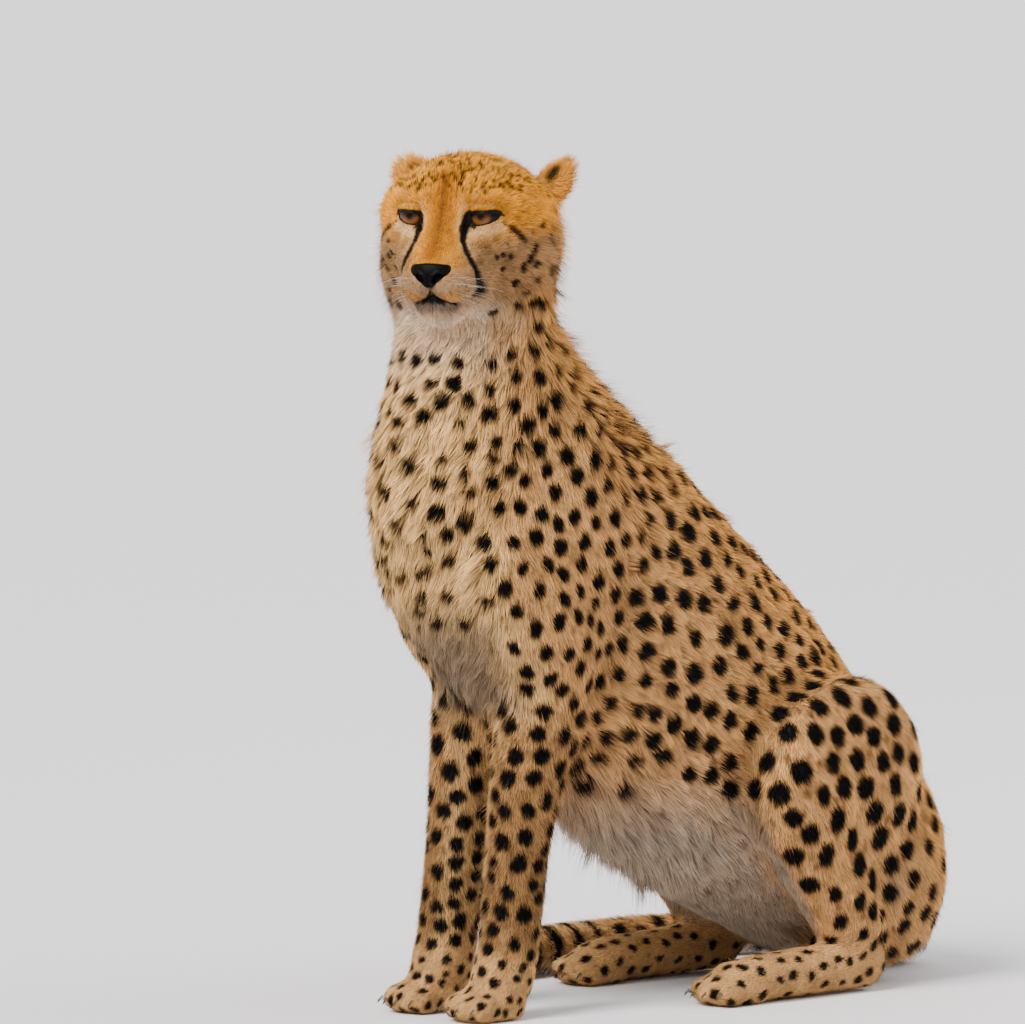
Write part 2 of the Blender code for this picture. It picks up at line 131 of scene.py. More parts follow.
def waves(points, scale, seed):
    """Smooth noise from -1 to 1 at points, with features of about the scale, from summed waves."""
    local = np.random.default_rng(seed)
    total = np.zeros(len(points))
    for _ in range(WAVES):
        way = unit(local.normal(size=3)) * 2 * math.pi / (scale * local.uniform(1.0, 2.4))
        total += np.sin(points @ way + local.uniform(0, 6.28))
    return np.clip(total / WAVE_HEIGHT, -1, 1)


def kind(node):
    """The region of a node: forearm_left is a forearm, tail_2 a tail."""
    return next((name for name in REGIONS if node.startswith(name)), None)


def middle(node):
    low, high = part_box(node)
    return (np.array(low) + np.array(high)) / 2


def new_object(name, mesh):
    made = bpy.data.objects.new(name, mesh)
    bpy.context.scene.collection.objects.link(made)
    return made


def mesh_from(name, points, faces):
    mesh = bpy.data.meshes.new(name)
    mesh.from_pydata([tuple(p) for p in points], [], [tuple(int(i) for i in f) for f in faces])
    mesh.update()
    return mesh


def read(items, field, width, number=float):
    """A field of all the points, edges or corners of a mesh, as rows of some width."""
    flat = np.empty(len(items) * width, number)
    items.foreach_get(field, flat)
    return flat.reshape(-1, width)


def points_of(mesh):
    return read(mesh.vertices, "co", 3)


def normals_of(mesh):
    return read(mesh.vertices, "normal", 3)


def triangles_of(mesh):
    mesh.calc_loop_triangles()
    return read(mesh.loop_triangles, "vertices", 3, np.int32)


def surface_of(mesh):
    """The mesh as a tree, for finding places on it."""
    return BVHTree.FromPolygons([v.co for v in mesh.vertices], [p.vertices for p in mesh.polygons])


def tree_of(points):
    tree = KDTree(len(points))
    for i, point in enumerate(points.tolist()):
        tree.insert(point, i)
    tree.balance()
    return tree


def put_points(mesh, points):
    mesh.vertices.foreach_set("co", np.asarray(points, float).ravel())
    mesh.update()


MARKS = "marks"  # the colour attribute that the materials read


def put_colours(mesh, colours):
    """A colour for each point of the mesh."""
    layer = mesh.color_attributes.new(MARKS, "FLOAT_COLOR", "POINT")
    rgba = np.ones((len(mesh.vertices), 4))
    rgba[:, :3] = colours
    layer.data.foreach_set("color", rgba.ravel())


flesh = [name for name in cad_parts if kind(name)]
MIDDLE_X = middle("chest")[0]  # the plane between the animal's left and right

# ------------ the head's own frame
# left, forward and up from the point between the eyes
HEAD_PITCH = math.radians(3)
eye_middles = {side: middle(f"eye_{side}") for side in ("left", "right")}
EYE_RADIUS = (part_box("eye_left")[1][2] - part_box("eye_left")[0][2]) / 2
BROW = (eye_middles["left"] + eye_middles["right"]) / 2
EYE_SPREAD = np.linalg.norm(eye_middles["left"] - eye_middles["right"]) / 2
HEAD_LEFT = unit(eye_middles["left"] - eye_middles["right"])
HEAD_FORWARD = unit(np.cross(HEAD_LEFT, UP)) * math.cos(HEAD_PITCH) - UP * math.sin(HEAD_PITCH)
HEAD_AXES = np.array((HEAD_LEFT, HEAD_FORWARD, np.cross(HEAD_FORWARD, HEAD_LEFT)))
SIDES = {"left": 1, "right": -1}
EYE_PLACES = {side: np.array((sign * EYE_SPREAD, 0, 0)) for side, sign in SIDES.items()}
HEAD_REACH = 0.19  # nothing of the head is further from the point between the eyes
EYE_REACH = 30 * MM  # the lids and their rims are nearer than this to the eye's middle
SKULL = (0, -0.05, 0.0)  # a point inside the head, between the ears


def in_head(points):
    """(left, forward, up) of points, from the point between the eyes."""
    return (np.asarray(points) - BROW) @ HEAD_AXES.T


def from_head(points):
    return np.asarray(points) @ HEAD_AXES + BROW


def line_distance(points, line):
    """Distance from points to a line of straight stretches, and how far along it, from 0 to 1."""
    line = np.asarray(line, float)
    best = np.full(len(points), 1e9)
    where = np.zeros(len(points))
    for i, (a, b) in enumerate(zip(line, line[1:])):
        t = np.clip((points - a) @ (b - a) / np.dot(b - a, b - a), 0, 1)
        gap = apart(points - a, t[:, None] * (b - a))
        near = gap < best
        best[near] = gap[near]
        where[near] = ((i + t) / (len(line) - 1))[near]
    return best, where


# ------------ the skin's shape
def flesh_mesh():
    """All the flesh as one mesh of closed shells, each swollen a little, and each face's node."""
    whole, owners = bmesh.new(), []
    for name in [*flesh, "nose", "eye_left", "eye_right"]:
        bm = bmesh.new()
        bm.from_mesh(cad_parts[name].data)
        bmesh.ops.remove_doubles(bm, verts=bm.verts, dist=0.01 * MM)
        bmesh.ops.triangulate(bm, faces=bm.faces)
        bm.normal_update()
        for vert in bm.verts:
            vert.co += vert.normal * SWELL
        mesh = bpy.data.meshes.new(name)
        bm.to_mesh(mesh)
        whole.from_mesh(mesh)
        owners += [name if kind(name) else "head"] * len(bm.faces)
        bm.free()
    mesh = bpy.data.meshes.new("flesh")
    whole.to_mesh(mesh)
    whole.free()
    return mesh, owners


def remeshed(mesh):
    """One smooth skin over the shells, as an object."""
    skin = new_object("skin", mesh.copy())
    remesh = skin.modifiers.new("Remesh", "REMESH")
    remesh.mode = "VOXEL"
    remesh.voxel_size = SKIN_VOXEL
    smooth = skin.modifiers.new("Smooth", "SMOOTH")
    smooth.factor = 0.6
    smooth.iterations = 8
    shaped = skin.evaluated_get(bpy.context.evaluated_depsgraph_get())
    skin.data = bpy.data.meshes.new_from_object(shaped)
    skin.modifiers.clear()
    return skin


# The front of the head, in its own frame.
FRONT_BACK, FRONT_SIDE, FRONT_FOOT, FRONT_TOP = -0.006, 0.062, -0.104, 0.028


def divide_face(skin):
    """Finer faces on the front of the head, for the lids, the lips and the folds."""
    bm = bmesh.new()
    bm.from_mesh(skin.data)
    bm.faces.ensure_lookup_table()
    centres = in_head([f.calc_center_median() for f in bm.faces])
    front = (centres[:, 1] > FRONT_BACK) & (np.abs(centres[:, 0]) < FRONT_SIDE)
    front &= (centres[:, 2] > FRONT_FOOT) & (centres[:, 2] < FRONT_TOP)
    edges = {e for i in np.flatnonzero(front) for e in bm.faces[i].edges}
    bmesh.ops.subdivide_edges(bm, edges=list(edges), cuts=FACE_CUTS, use_grid_fill=True)
    bmesh.ops.triangulate(bm, faces=[f for f in bm.faces if len(f.verts) > 4])
    bm.to_mesh(skin.data)
    bm.free()


class Net:
    """The skin's points and edges, for spreading values over it."""

    def __init__(self, mesh):
        ends = read(mesh.edges, "vertices", 2, np.int32)
        self.here = np.concatenate((ends[:, 0], ends[:, 1]))
        self.there = np.concatenate((ends[:, 1], ends[:, 0]))
        self.size = len(mesh.vertices)
        self.degree = np.maximum(np.bincount(self.here, minlength=self.size), 1)[:, None]

    def spread(self, values, rounds, keep=0.5):
        """Values averaged with their neighbours' again and again."""
        values = np.array(values, float).reshape(self.size, -1)
        for _ in range(rounds):
            near = np.stack([
                np.bincount(self.here, column[self.there], self.size) for column in values.T
            ], 1)
            values = keep * values + (1 - keep) * near / self.degree
        return values


def owners_of(points, mesh, owners):
    """The index in flesh of the node nearest to each point."""
    tree = surface_of(mesh)
    number = {name: i for i, name in enumerate(flesh)}
    numbers = np.array([number[name] for name in owners])
    return numbers[[tree.find_nearest(Vector(p))[2] for p in points]]


# Where the hair of each node points: at another node, or along a direction.
TAILWARD = unit(middle("rump") - middle("chest"))
LIE = {
    "neck": (0, 0.30, -1.0),
    "chest": (0, 0.62, -1.0),
    "belly": TAILWARD,
    "rump": (0, 0.62, -0.9),
    "upper_arm": (0, 0.16, -1.0),
    "forearm": (0, -0.08, -1.0),
    "forepaw": (0, -0.80, -0.55),
    "thigh": (0, 0.30, -1.0),
    "shank": (0, 0.22, -1.0),
    "hind_foot": (0, -1.0, -0.12),
}


def lie_of(node):
    if kind(node) == "ear":
        return unit(middle(node) - from_head(SKULL))
    if kind(node) == "tail":
        number = int(node[-1])
        ends = [f"tail_{max(number - 1, 1)}", f"tail_{min(number + 1, 4)}"]
        return unit(middle(ends[1]) - middle(ends[0]))
    return unit(LIE[kind(node)]) if kind(node) in LIE else np.zeros(3)


def of_node(what):
    """For each point of the skin, what a function says of the node that it belongs to."""
    return np.array([what(name) for name in flesh])[owner]


def weights_of(net):
    """How much each point belongs to each kind of region, blended where they meet."""
    kinds = list(REGIONS)
    number = of_node(lambda name: kinds.index(kind(name)))
    sharp = np.eye(len(kinds))[number]
    soft = net.spread(sharp, 50)
    ear = kinds.index("ear")
    ear_share = net.spread(sharp[:, ear], 6)
    others = np.delete(np.arange(len(kinds)), ear)
    soft[:, others] *= (1 - ear_share) / np.maximum(soft[:, others].sum(1, keepdims=True), 1e-6)
    soft[:, ear] = ear_share[:, 0]
    return soft


def lies(net, points, normals, head):
    """The direction in which the hair lies at each point, along the skin."""
    ways = of_node(lie_of)
    on_head = of_node(kind) == "head"
    on_neck = np.isin(of_node(kind), ("neck", "chest"))
    from_nose = unit(points - from_head((0, 0.085, -0.050)))
    down = ease(0.020, -0.070, head[:, 1])[:, None] * np.array((0, 0, -1.3))
    ways[on_head] = unit(from_nose + down)[on_head]
    ahead = ease(0.35, -0.25, normals[:, 1])[:, None]
    ways[on_neck] = unit(ways + ahead * np.array((0, -0.95, 0)))[on_neck]
    for side in SIDES:
        on_ear = of_node(str) == "ear_" + side
        root = mix(middle("ear_" + side), from_head(SKULL), 0.45)
        ways[on_ear] = unit(points - root)[on_ear]
    return along_skin(net.spread(along_skin(ways, normals), 30), normals)


solid, owners = flesh_mesh()
skin = remeshed(solid)
divide_face(skin)
net = Net(skin.data)
outer = points_of(skin.data)
outward = normals_of(skin.data)
owner = owners_of(outer, solid, owners)
share = weights_of(net)
head = in_head(outer)
values = dict(zip(FIELDS, (share @ np.array(list(REGIONS.values()))).T))
for field in ("depth", "length", "width", "spacing", "long", "broad"):
    values[field] = values[field] * MM


def part(name):
    """How much each point belongs to a kind of node, from 0 to 1."""
    return share[:, list(REGIONS).index(name)]


# Where the coat is unlike the rest of its node's, from 0 to 1.
head_x, head_y, head_z = head.T
face = part("head") * (1 - ease(0.030, 0.120, apart(head, np.array((0, 0.070, -0.056)))))
cheek = part("head") * ease(0.020, -0.020, head_y) * ease(-0.030, -0.080, head_z)
nape = part("neck") * ease(0.1, 0.7, outward[:, 1])
nape += part("chest") * ease(0.2, 0.8, outward[:, 1]) * ease(0.45, 0.55, outer[:, 2])
breast = part("chest") * ease(0.1, 0.8, -outward[:, 1])
under = part("belly") * ease(0.05, 0.7, -outward[:, 2])
tail_points = outer[of_node(str) == "tail_4"]
tail_end = tail_points[np.argmax(apart(tail_points, middle("tail_3")))]
to_end = apart(outer, tail_end)
tip = part("tail") * ease(0.052, 0.038, to_end)
crown = part("head") * ease(0.020, 0.045, head_z)
jowl = part("head") * ease(0.000, -0.050, head_y) * ease(0.040, 0.000, head_z)
chin = np.exp(-((apart(head, np.array((0, 0.044, -0.102))) / 0.024) ** 4))
ear_edge = np.zeros(len(outer))
for side in SIDES:
    away = apart(outer, middle("ear_" + side))
    ear_edge += part("ear") * ease(0.016, 0.030, away) * (away < 0.06)

# The coat is short round the nose and the eyes, and long on the jowls, the nape, the breast,
# under the belly, on the chin and at the edges of the ears.
values["length"] *= 1 - 0.55 * face + 0.1 * cheek + 0.6 * jowl + 0.45 * nape + 0.15 * breast + 1.3 * under
values["length"] *= 1 + 1.5 * chin
values["length"] *= 1 + 0.8 * ear_edge
values["depth"] *= 1 - 0.70 * face + 0.4 * cheek + 0.8 * under + 0.9 * nape - 0.5 * jowl
values["tilt"] = values["tilt"] + 14 * chin
values["tilt"] = values["tilt"] + 8 * nape + 18 * under + 4 * cheek + 15 * jowl - 4 * face + 2 * crown
values["tilt"] = values["tilt"] + 12 * part("ear") + 10 * ear_edge
values["wisp"] = 0.03 + 0.10 * nape + 0.14 * jowl + 0.10 * crown + 0.06 * under + 0.04 * part("forearm")
loose_kinds = {"neck": 0.7, "chest": 1.0, "belly": 1.0, "tail": 0.7, "head": 0.5, "rump": 0.5}
values["loose"] = 0.3 + sum(part(name) * (amount - 0.3) for name, amount in loose_kinds.items())
shin = 0.72 + 0.28 * ease(0.08, 0.30, outer[:, 2])  # the spots are smaller low on the forearm
for field in ("spacing", "long", "broad"):
    values[field] *= 1 + part("forearm") * (shin - 1)
lie = lies(net, outer, outward, head)

# Folds of the skin where the knee and the elbow stand out from the trunk.
crease = 4 * part("thigh") * (part("belly") + 0.3 * part("rump")) + 2.8 * part("upper_arm") * part("belly")
crease = np.clip(crease, 0, 1)
CREASE_DEPTH = 7.0 * MM
inner = outer - outward * (values["depth"] + CREASE_DEPTH * crease)[:, None]
inner[:, 2] = np.maximum(inner[:, 2], LOWEST)
put_points(skin.data, inner + 0.3 * (net.spread(inner, 2) - inner))

# ------------ the face
LID_GAP = 1.0 * MM  # the lids' distance from the eyeball
LID_EDGE = 1.5 * MM  # how far outside the opening the skin begins to leave the ball
LID_SLOPE = 0.9
OPENING_SPARE = 1.6 * MM  # how far outside the opening the skin goes behind the ball's surface
OPENING_DEPTH = 2.5 * MM
INNER_CORNER = (-52, -12)  # degrees outward and upward, seen from the middle of the eye
OUTER_CORNER = (72, 5)
LID_RISE = 21  # degrees above the middle line of the opening
LID_FALL = 17
GAZE_UP = math.radians(6)


def eye_angles(points, side):
    """Degrees outward and upward, and distance, of points seen from the middle of an eye."""
    away = in_head(points) - EYE_PLACES[side]
    far = apart(away, 0)
    across = np.degrees(np.arctan2(away[:, 0] * SIDES[side], away[:, 1]))
    return across, np.degrees(np.arcsin(away[:, 2] / far)), far


def from_eye(across, rise, far, side):
    """The reverse of eye_angles."""
    across, rise = np.radians(across), np.radians(rise)
    flat = np.cos(rise)
    away = np.stack((flat * np.sin(across) * SIDES[side], flat * np.cos(across), np.sin(rise)), -1)
    return from_head(away * np.asarray(far)[..., None] + EYE_PLACES[side])


def opening_middle(t):
    """The middle line of the opening, in degrees upward, from the inner corner to the outer."""
    return INNER_CORNER[1] + (OUTER_CORNER[1] - INNER_CORNER[1]) * t


def along_opening(across):
    """How far along the opening, 0 at the inner corner and 1 at the outer."""
    return (across - INNER_CORNER[0]) / (OUTER_CORNER[0] - INNER_CORNER[0])


def lid_lines(t):
    """The upper and lower edges of the opening, in degrees upward."""
    arch = np.clip(4 * t * (1 - t), 0, 1)
    upper = opening_middle(t) + LID_RISE * arch**0.45 * (1 - 0.25 * t)
    lower = opening_middle(t) - LID_FALL * arch**0.75 * (1.15 - 0.5 * t)
    return upper, lower


def opening_outline(count):
    """The opening's edge as a closed loop of (outward, upward) degrees."""
    t = (1 - np.cos(np.linspace(0, math.pi, count // 2 + 1))) / 2
    across = INNER_CORNER[0] + (OUTER_CORNER[0] - INNER_CORNER[0]) * t
    upper, lower = lid_lines(t)
    return np.concatenate((np.stack((across, upper), 1), np.stack((across, lower), 1)[-2:0:-1]))


def lid_distance(points, side):
    """Distance from the edge of an eye's opening, negative inside, and from the ball's middle."""
    across, rise, far = eye_angles(points, side)
    loop = opening_outline(96)
    gap = line_distance(np.stack((across, rise), 1), np.vstack((loop, loop[:1])))[0]
    t = along_opening(across)
    upper, lower = lid_lines(np.clip(t, 0, 1))
    inside = (t > 0) & (t < 1) & (rise < upper) & (rise > lower)
    gap = np.radians(gap) * EYE_RADIUS
    return np.where(inside, -gap, gap), far


def above_eye(points, side):
    """1 above the middle line of an eye's opening and 0 below it."""
    across, rise, _ = eye_angles(points, side)
    t = np.clip(along_opening(across), 0, 1)
    return ease(-4, 8, rise - opening_middle(t))


def open_eyes(points):
    """The skin drawn round each eyeball: behind it in the opening, and just off it at the lids."""
    points = points.copy()
    for side, centre in eye_middles.items():
        near = apart(points, centre) < EYE_RADIUS * 2.2
        near &= in_head(points)[:, 1] > -0.004
        gap, far = lid_distance(points[near], side)
        least = EYE_RADIUS + LID_GAP
        most = least + LID_SLOPE * np.maximum(gap - LID_EDGE, 0)
        shaped = np.clip(far, least, np.maximum(most, least + 0.1 * MM))
        shaped = far + (shaped - far) * ease(13 * MM, 6 * MM, gap)
        shaped = np.where(gap < OPENING_SPARE, EYE_RADIUS - OPENING_DEPTH, shaped)
        shaped = far + (shaped - far) * ease(1.9 * EYE_RADIUS, 1.4 * EYE_RADIUS, far)
        points[near] = centre + (points[near] - centre) * (shaped / far)[:, None]
    return points


put_points(skin.data, open_eyes(points_of(skin.data)))


LINE_STEP = 1.0 * MM


def resampled(line):
    """A line with a point at about every step."""
    line = np.asarray(line, float)
    points = [line[:1]]
    for start, end in zip(line, line[1:]):
        count = max(int(np.linalg.norm(end - start) / LINE_STEP), 1)
        points.append(start + (end - start) * (np.arange(1, count + 1) / count)[:, None])
    return np.concatenate(points)


class Stroke:
    """A soft line on the skin of the head, given in millimetres in the head's frame."""

    REACH = 2.6  # radii from the line at which it has faded

    def __init__(self, surface, line, radius, side=1):
        line = np.asarray(line, float) * MM * np.array((side, 1, 1))
        dense = from_head(resampled(line))
        self.line = np.array([surface.find_nearest(Vector(p))[0] for p in dense])
        self.tree = tree_of(self.line)
        self.radius = radius * MM

    def weight(self, points, edge=1.0):
        """1 on the line and 0 outside it; a larger edge makes a harder one."""
        reach = self.REACH * self.radius
        low, high = self.line.min(0) - reach, self.line.max(0) + reach
        near = np.flatnonzero(np.all((points > low) & (points < high), axis=1))
        gap = np.array([self.tree.find(Vector(points[i]))[2] for i in near])
        result = np.zeros(len(points))
        if len(near):
            result[near] = np.exp(-(gap / self.radius) ** (2 * edge))
        return result


def strokes(surface, line, radius):
    """The strokes of a line: one if it lies on the middle of the face, else one on each side."""
    sides = (1, -1) if any(left for left, _, _ in line) else (1,)
    return [Stroke(surface, line, radius, side) for side in sides]


def on_skin(left, forward, up):
    """The place on the skin nearest to one in the head's frame, in millimetres."""
    return surface.find_nearest(Vector(from_head(np.array((left, forward, up)) * MM)))[0]


TEAR = [
    (25, 20, -5), (25, 28, -12), (27, 36, -22), (31, 39, -31), (37, 41, -41), (41, 37, -51), (42, 35, -61)
]
MOUTH = [(0, 60, -77), (8, 58, -81), (15, 54, -84), (23, 49, -87)]
# What is raised or sunk on the face: line, radius and height, in millimetres.
FORMS = [
    ([(0, 66, -69), (0, 60, -77)], 1.8, -2.2),  # philtrum
    (MOUTH, 2.0, -3.0),
    ([(0, 57, -85), (10, 55, -88), (19, 49, -92)], 4.5, 1.8),  # lower lip
    ([(13, 62, -69), (23, 56, -72)], 10.0, 2.6),  # whisker pads
    ([(0, 54, -95)], 10.0, 1.6),  # chin
    ([(25, 52, -50), (27, 47, -40)], 6.0, -1.4),  # beside the nose
    (TEAR, 2.4, -1.0),
    ([(24, 17, 11), (33, 17, 15), (45, 13, 16), (56, 5, 13)], 1.7, -1.5),  # fold of the upper lid
    ([(24, 18, 20), (38, 16, 23), (53, 6, 20)], 6.0, 2.4),  # brow
    ([(30, 21, -13), (41, 18, -15), (53, 9, -11)], 1.8, -0.9),  # fold under the eye
    ([(31, 25, -18), (43, 21, -20), (55, 9, -16)], 4.5, 1.2),
    ([(0, 24, 18), (0, 40, -12)], 5.0, -0.8),  # between the brows
]


# The nose pad: half its breadth from its top to its bottom, in millimetres.
PAD_TOP, PAD_BOTTOM = -41.5, -69.5
PAD_HALF = [(0, 17), (0.08, 22), (0.2, 24.5), (0.34, 23.5), (0.52, 18), (0.7, 11.5), (0.88, 6.0), (1, 3.0)]


def pad_half(fall):
    """Half the breadth of the nose pad, at a part of the way down it."""
    stops = np.array(PAD_HALF)
    return np.interp(fall, stops[:, 0], stops[:, 1])


def make_room_for_nose(points):
    """The skin under the nose pad, pushed back so that the nostrils don't reach it."""
    left, forward, up = (in_head(points) / MM).T
    fall = (PAD_TOP - 1.5 - up) / (PAD_TOP - PAD_BOTTOM)
    spare = np.minimum(pad_half(fall) - 1.5 - np.abs(left), (np.minimum(fall, 1 - fall) * 27 - 1.5))
    back = 6 * ease(0, 2.5, spare) * (forward > 35)
    return points - HEAD_AXES[1] * (back * MM)[:, None]


def carve(points, normals):
    """The skin raised and sunk by the forms of the face."""
    surface = surface_of(skin.data)
    moved = np.zeros(len(points))
    for line, radius, height in FORMS:
        weights = [stroke.weight(points) for stroke in strokes(surface, line, radius)]
        moved += np.max(weights, 0) * height * MM
    return points + normals * moved[:, None]


put_points(skin.data, carve(points_of(skin.data), normals_of(skin.data)))
put_points(skin.data, open_eyes(points_of(skin.data)))
surface = surface_of(skin.data)
put_points(skin.data, make_room_for_nose(points_of(skin.data)))
inner = points_of(skin.data)
skin_normals = normals_of(skin.data)

# ------------ the coat's ground colours
BACK_GOLD = np.array((0.90, 0.385, 0.060))
CROWN_GOLD = np.array((0.96, 0.410, 0.045))
LIP_GREY = np.array((0.145, 0.110, 0.088))
MUZZLE = np.array((0.40, 0.235, 0.118))
# the tawny fur of the lower face, made darker by painted shade
CHEEK_WITH_PAINTED_SHADE = np.array((0.32, 0.178, 0.080))
RUFF = np.array((0.70, 0.540, 0.390))
EYE_PALE = np.array((0.82, 0.500, 0.215))
# On the head: line and radius in millimetres, colour, strength and edge.
HEAD_COLOURS = [
    ([(0, -10, 50), (0, 20, 30)], 22, GOLD, 0.6, 1),
    ([(0, 12, 38), (0, 27, 7), (0, 45, -20), (0, 58, -36)], 14, RUST, 0.85, 1.2),
    ([(28, 30, -18), (33, 27, -15), (42, 20, -14), (54, 9, -9)], 7.5, EYE_PALE, 0.95, 1),
    ([(29, 36, -28), (35, 37, -35)], 6, EYE_PALE, 0.55, 1),
    ([(30, 17, 12), (40, 16, 14), (50, 11, 12)], 2.4, EYE_PALE, 0.20, 1),
    ([(22, 21, 13), (20, 25, 2), (21, 33, -9)], 3.0, EYE_PALE, 0.7, 1),
    ([(0, 66, -66), (18, 56, -66), (32, 45, -66), (38, 38, -58)], 12, MUZZLE, 0.95, 1.5),
    ([(24, 48, -84), (34, 40, -86), (46, 26, -82)], 9, MUZZLE, 0.9, 1.2),
    ([(0, 58, -84), (10, 55, -88), (20, 49, -90)], 8.5, LIP_GREY, 0.95, 1),
]

height = inner[:, 2]
to_back, to_top = skin_normals[:, 1], skin_normals[:, 2]
inward = -skin_normals[:, 0] * np.sign(inner[:, 0] - MIDDLE_X)
inside = ease(0.1, 0.8, inward)

# The pale fur under the belly, between the hind legs and low on the rump has hardly any spots.
pale_under = ease(0.20, -0.5, to_top) * ease(0.295, 0.18, height)
pale_under *= part("belly") + part("chest")
groin = (part("shank") + part("thigh") * ease(0.22, 0.15, height))
groin *= ease(0.05, 0.65, inward - 0.7 * to_back)
low_front = ease(0.10, -0.40, to_back) * ease(0.32, 0.24, height)
low_front = np.maximum(low_front, ease(0.1, -0.4, to_top) * (inner[:, 1] < middle("rump")[1]))
groin += part("rump") * low_front
pale_under = np.clip(pale_under + groin, 0, 1)
# Between the forelegs the pale fur is painted dark grey: painted shade in the hollow where the legs meet
# the chest.
forelegs_painted_shade = part("chest") * ease(0.48, 0.40, height) + part("upper_arm") * inside
forelegs_painted_shade = np.clip(forelegs_painted_shade, 0, 1)


def head_layers():
    """Colours of the head, and how much of each to lay over the last."""
    bridge = np.exp(-((head_x / 0.030) ** 4)) * ease(0.005, 0.030, head_y)
    streaks = 0.5 + 0.5 * waves(head * np.array((1.0, 0.35, 1.0)), 0.010, 31)
    cheeks = ease(0.004, -0.030, head_z + 0.12 * (head_y + 0.02)) * (1 - bridge)
    cheeks *= ease(-0.105, -0.065, head_y)
    return [
        (GOLD, part("head") + 0.8 * part("ear")),
        (CROWN_GOLD, 0.50 * crown * ease(0.030, 0.000, head_y)),
        (TAN, 0.75 * part("head") * ease(-0.060, -0.110, head_y)),
        (mix(CHEEK_WITH_PAINTED_SHADE * 0.85, CHEEK_WITH_PAINTED_SHADE * 1.25, streaks), 0.92 * part("head") * cheeks),
        (RUFF, 0.9 * part("head") * ease(-0.080, -0.110, head_z - 0.10 * head_y)),
    ]


def body_layers():
    """Colours of the trunk, over the head's."""
    front = ease(0.0, 0.75, -to_back)
    throat = part("neck") * ease(0.0, 0.7, -to_back) * ease(0.66, 0.74, height)
    return [
        (CREAM, (part("neck") + part("chest") + 0.8 * part("upper_arm")) * front),
        (RUFF, 0.8 * throat),
        (GREY_WHITE_IN_PAINTED_SHADE, pale_under),
        # painted shade in the hollow between the forelegs
        (GREY_WHITE_IN_PAINTED_SHADE * 0.42, 0.9 * forelegs_painted_shade),
    ]


def leg_layers():
    """Colours of the legs and the tail, over the shade."""
    return [
        (CREAM, 0.45 * (part("upper_arm") + part("forearm")) * inside),
        (GREY_WHITE_IN_PAINTED_SHADE, 0.85 * (part("thigh") + part("shank")) * inside),
        (CREAM, 0.35 * (part("forepaw") + part("hind_foot"))),
        (WHITE, 0.8 * part("tail") * ease(0.0, -0.7, to_top)),
        (CREAM, 0.7 * part("tail") * ease(0.230, 0.190, to_end)),
        (WHITE, tip),
    ]


def shade():
    """Painted shade: how much darker the legs are than their colours, most low down; or painted light where
    it is negative, on the thigh and the upper arm.
    """
    dark = part("forearm") * (0.31 + 0.22 * ease(0.32, 0.12, height))
    dark += 0.12 * (part("forepaw") + part("hind_foot")) - 0.10 * (part("thigh") + part("upper_arm"))
    dark += 0.20 * part("upper_arm") * ease(0.46, 0.36, height)
    return dark + 0.16 * part("thigh") * ease(0.24, 0.12, height)


def layered(colours, layers):
    for colour, weight in layers:
        colours = mix(colours, colour, weight)
    return colours


def ground_colours():
    """The colour of the coat at each point of the skin, with painted shade and light, without the spots and
    the face's lines.
    """
    colours = np.tile(TAN, (len(inner), 1))
    back = skin_normals @ unit(np.array((0, 0.80, 0.60)))
    trunk = part("neck") + part("chest") + part("belly") + part("rump")
    colours = mix(colours, BACK_GOLD, trunk * ease(-0.1, 0.8, back) * 0.55)
    # painted shade and painted light on the legs, from shade()
    colours = layered(colours, head_layers() + body_layers()) * (1 - shade())[:, None]
    colours = layered(colours, leg_layers())
    # random lighter and darker patches, and painted shade in the folds at the knee and the elbow
    colours *= (1 + 0.08 * waves(inner, 0.09, 3))[:, None] * (1 - 0.35 * crease)[:, None]
    for line, radius, colour, strength, edge in HEAD_COLOURS:
        for stroke in strokes(surface, line, radius):
            colours = mix(colours, colour, strength * stroke.weight(inner, edge))
    return colours


ground = ground_colours()

# ------------ spots and lines
FACE_LINES = [
    # line and radius in millimetres, colour, strength and edge
    ([(0, 6, 42), (0, 20, 28), (0, 26, 12), (0, 38, -10)], 2.2, (0.20, 0.065, 0.015), 0.65, 1),
    ([(29, 10, 34), (30, 14, 21)], 2.0, (0.07, 0.025, 0.012), 0.75, 1.5),
    ([(14, 13, 34), (15, 20, 22)], 1.5, (0.14, 0.05, 0.016), 0.5, 1.2),
    (TEAR, 3.5, BLACK, 1.0, 3),
    ([(25, 15, 4), (23, 17, 0), (23.5, 20, -5), (25, 28, -12)], 6.4, BLACK, 1.0, 4),
    ([(25, 28, -12), (26.5, 35, -21)], 4.2, BLACK, 1.0, 3),
    ([(42, 35, -56), (42, 31, -66), (42, 24, -74)], 4.8, BLACK, 0.97, 2),
    ([(42, 30, -67), (44, 22, -74), (39, 32, -79)], 6.6, BLACK, 0.95, 1.5),
    ([(55, 5, 4), (60, 0, 2)], 1.6, BLACK, 0.95, 2),
    ([(60, 3, -5), (67, -1, -10)], 1.8, BROWN_BLACK, 0.8, 1.5),
    ([(69, -1, -12), (75, -4, -18), (80, -8, -24)], 4.8, BLACK, 0.97, 2),
    (MOUTH, 2.4, BLACK, 1.0, 2.5),
    ([(0, 60, -80), (0, 58, -84), (12, 57, -85)], 3.8, BLACK, 1.0, 2),
    ([(0, 66, -68), (0, 61, -77)], 1.5, BLACK, 0.85, 2),
    # painted shadow in the hollow of the ear
    ([(77, -102, 37), (80, -106, 41)], 9.0, BLACK, 0.97, 2),
]
SPOT_BROWN = (0.10, 0.045, 0.02)
FLECK_DARK = np.array((0.006, 0.003, 0.002))
FLECK_BROWN = np.array((0.06, 0.018, 0.005))
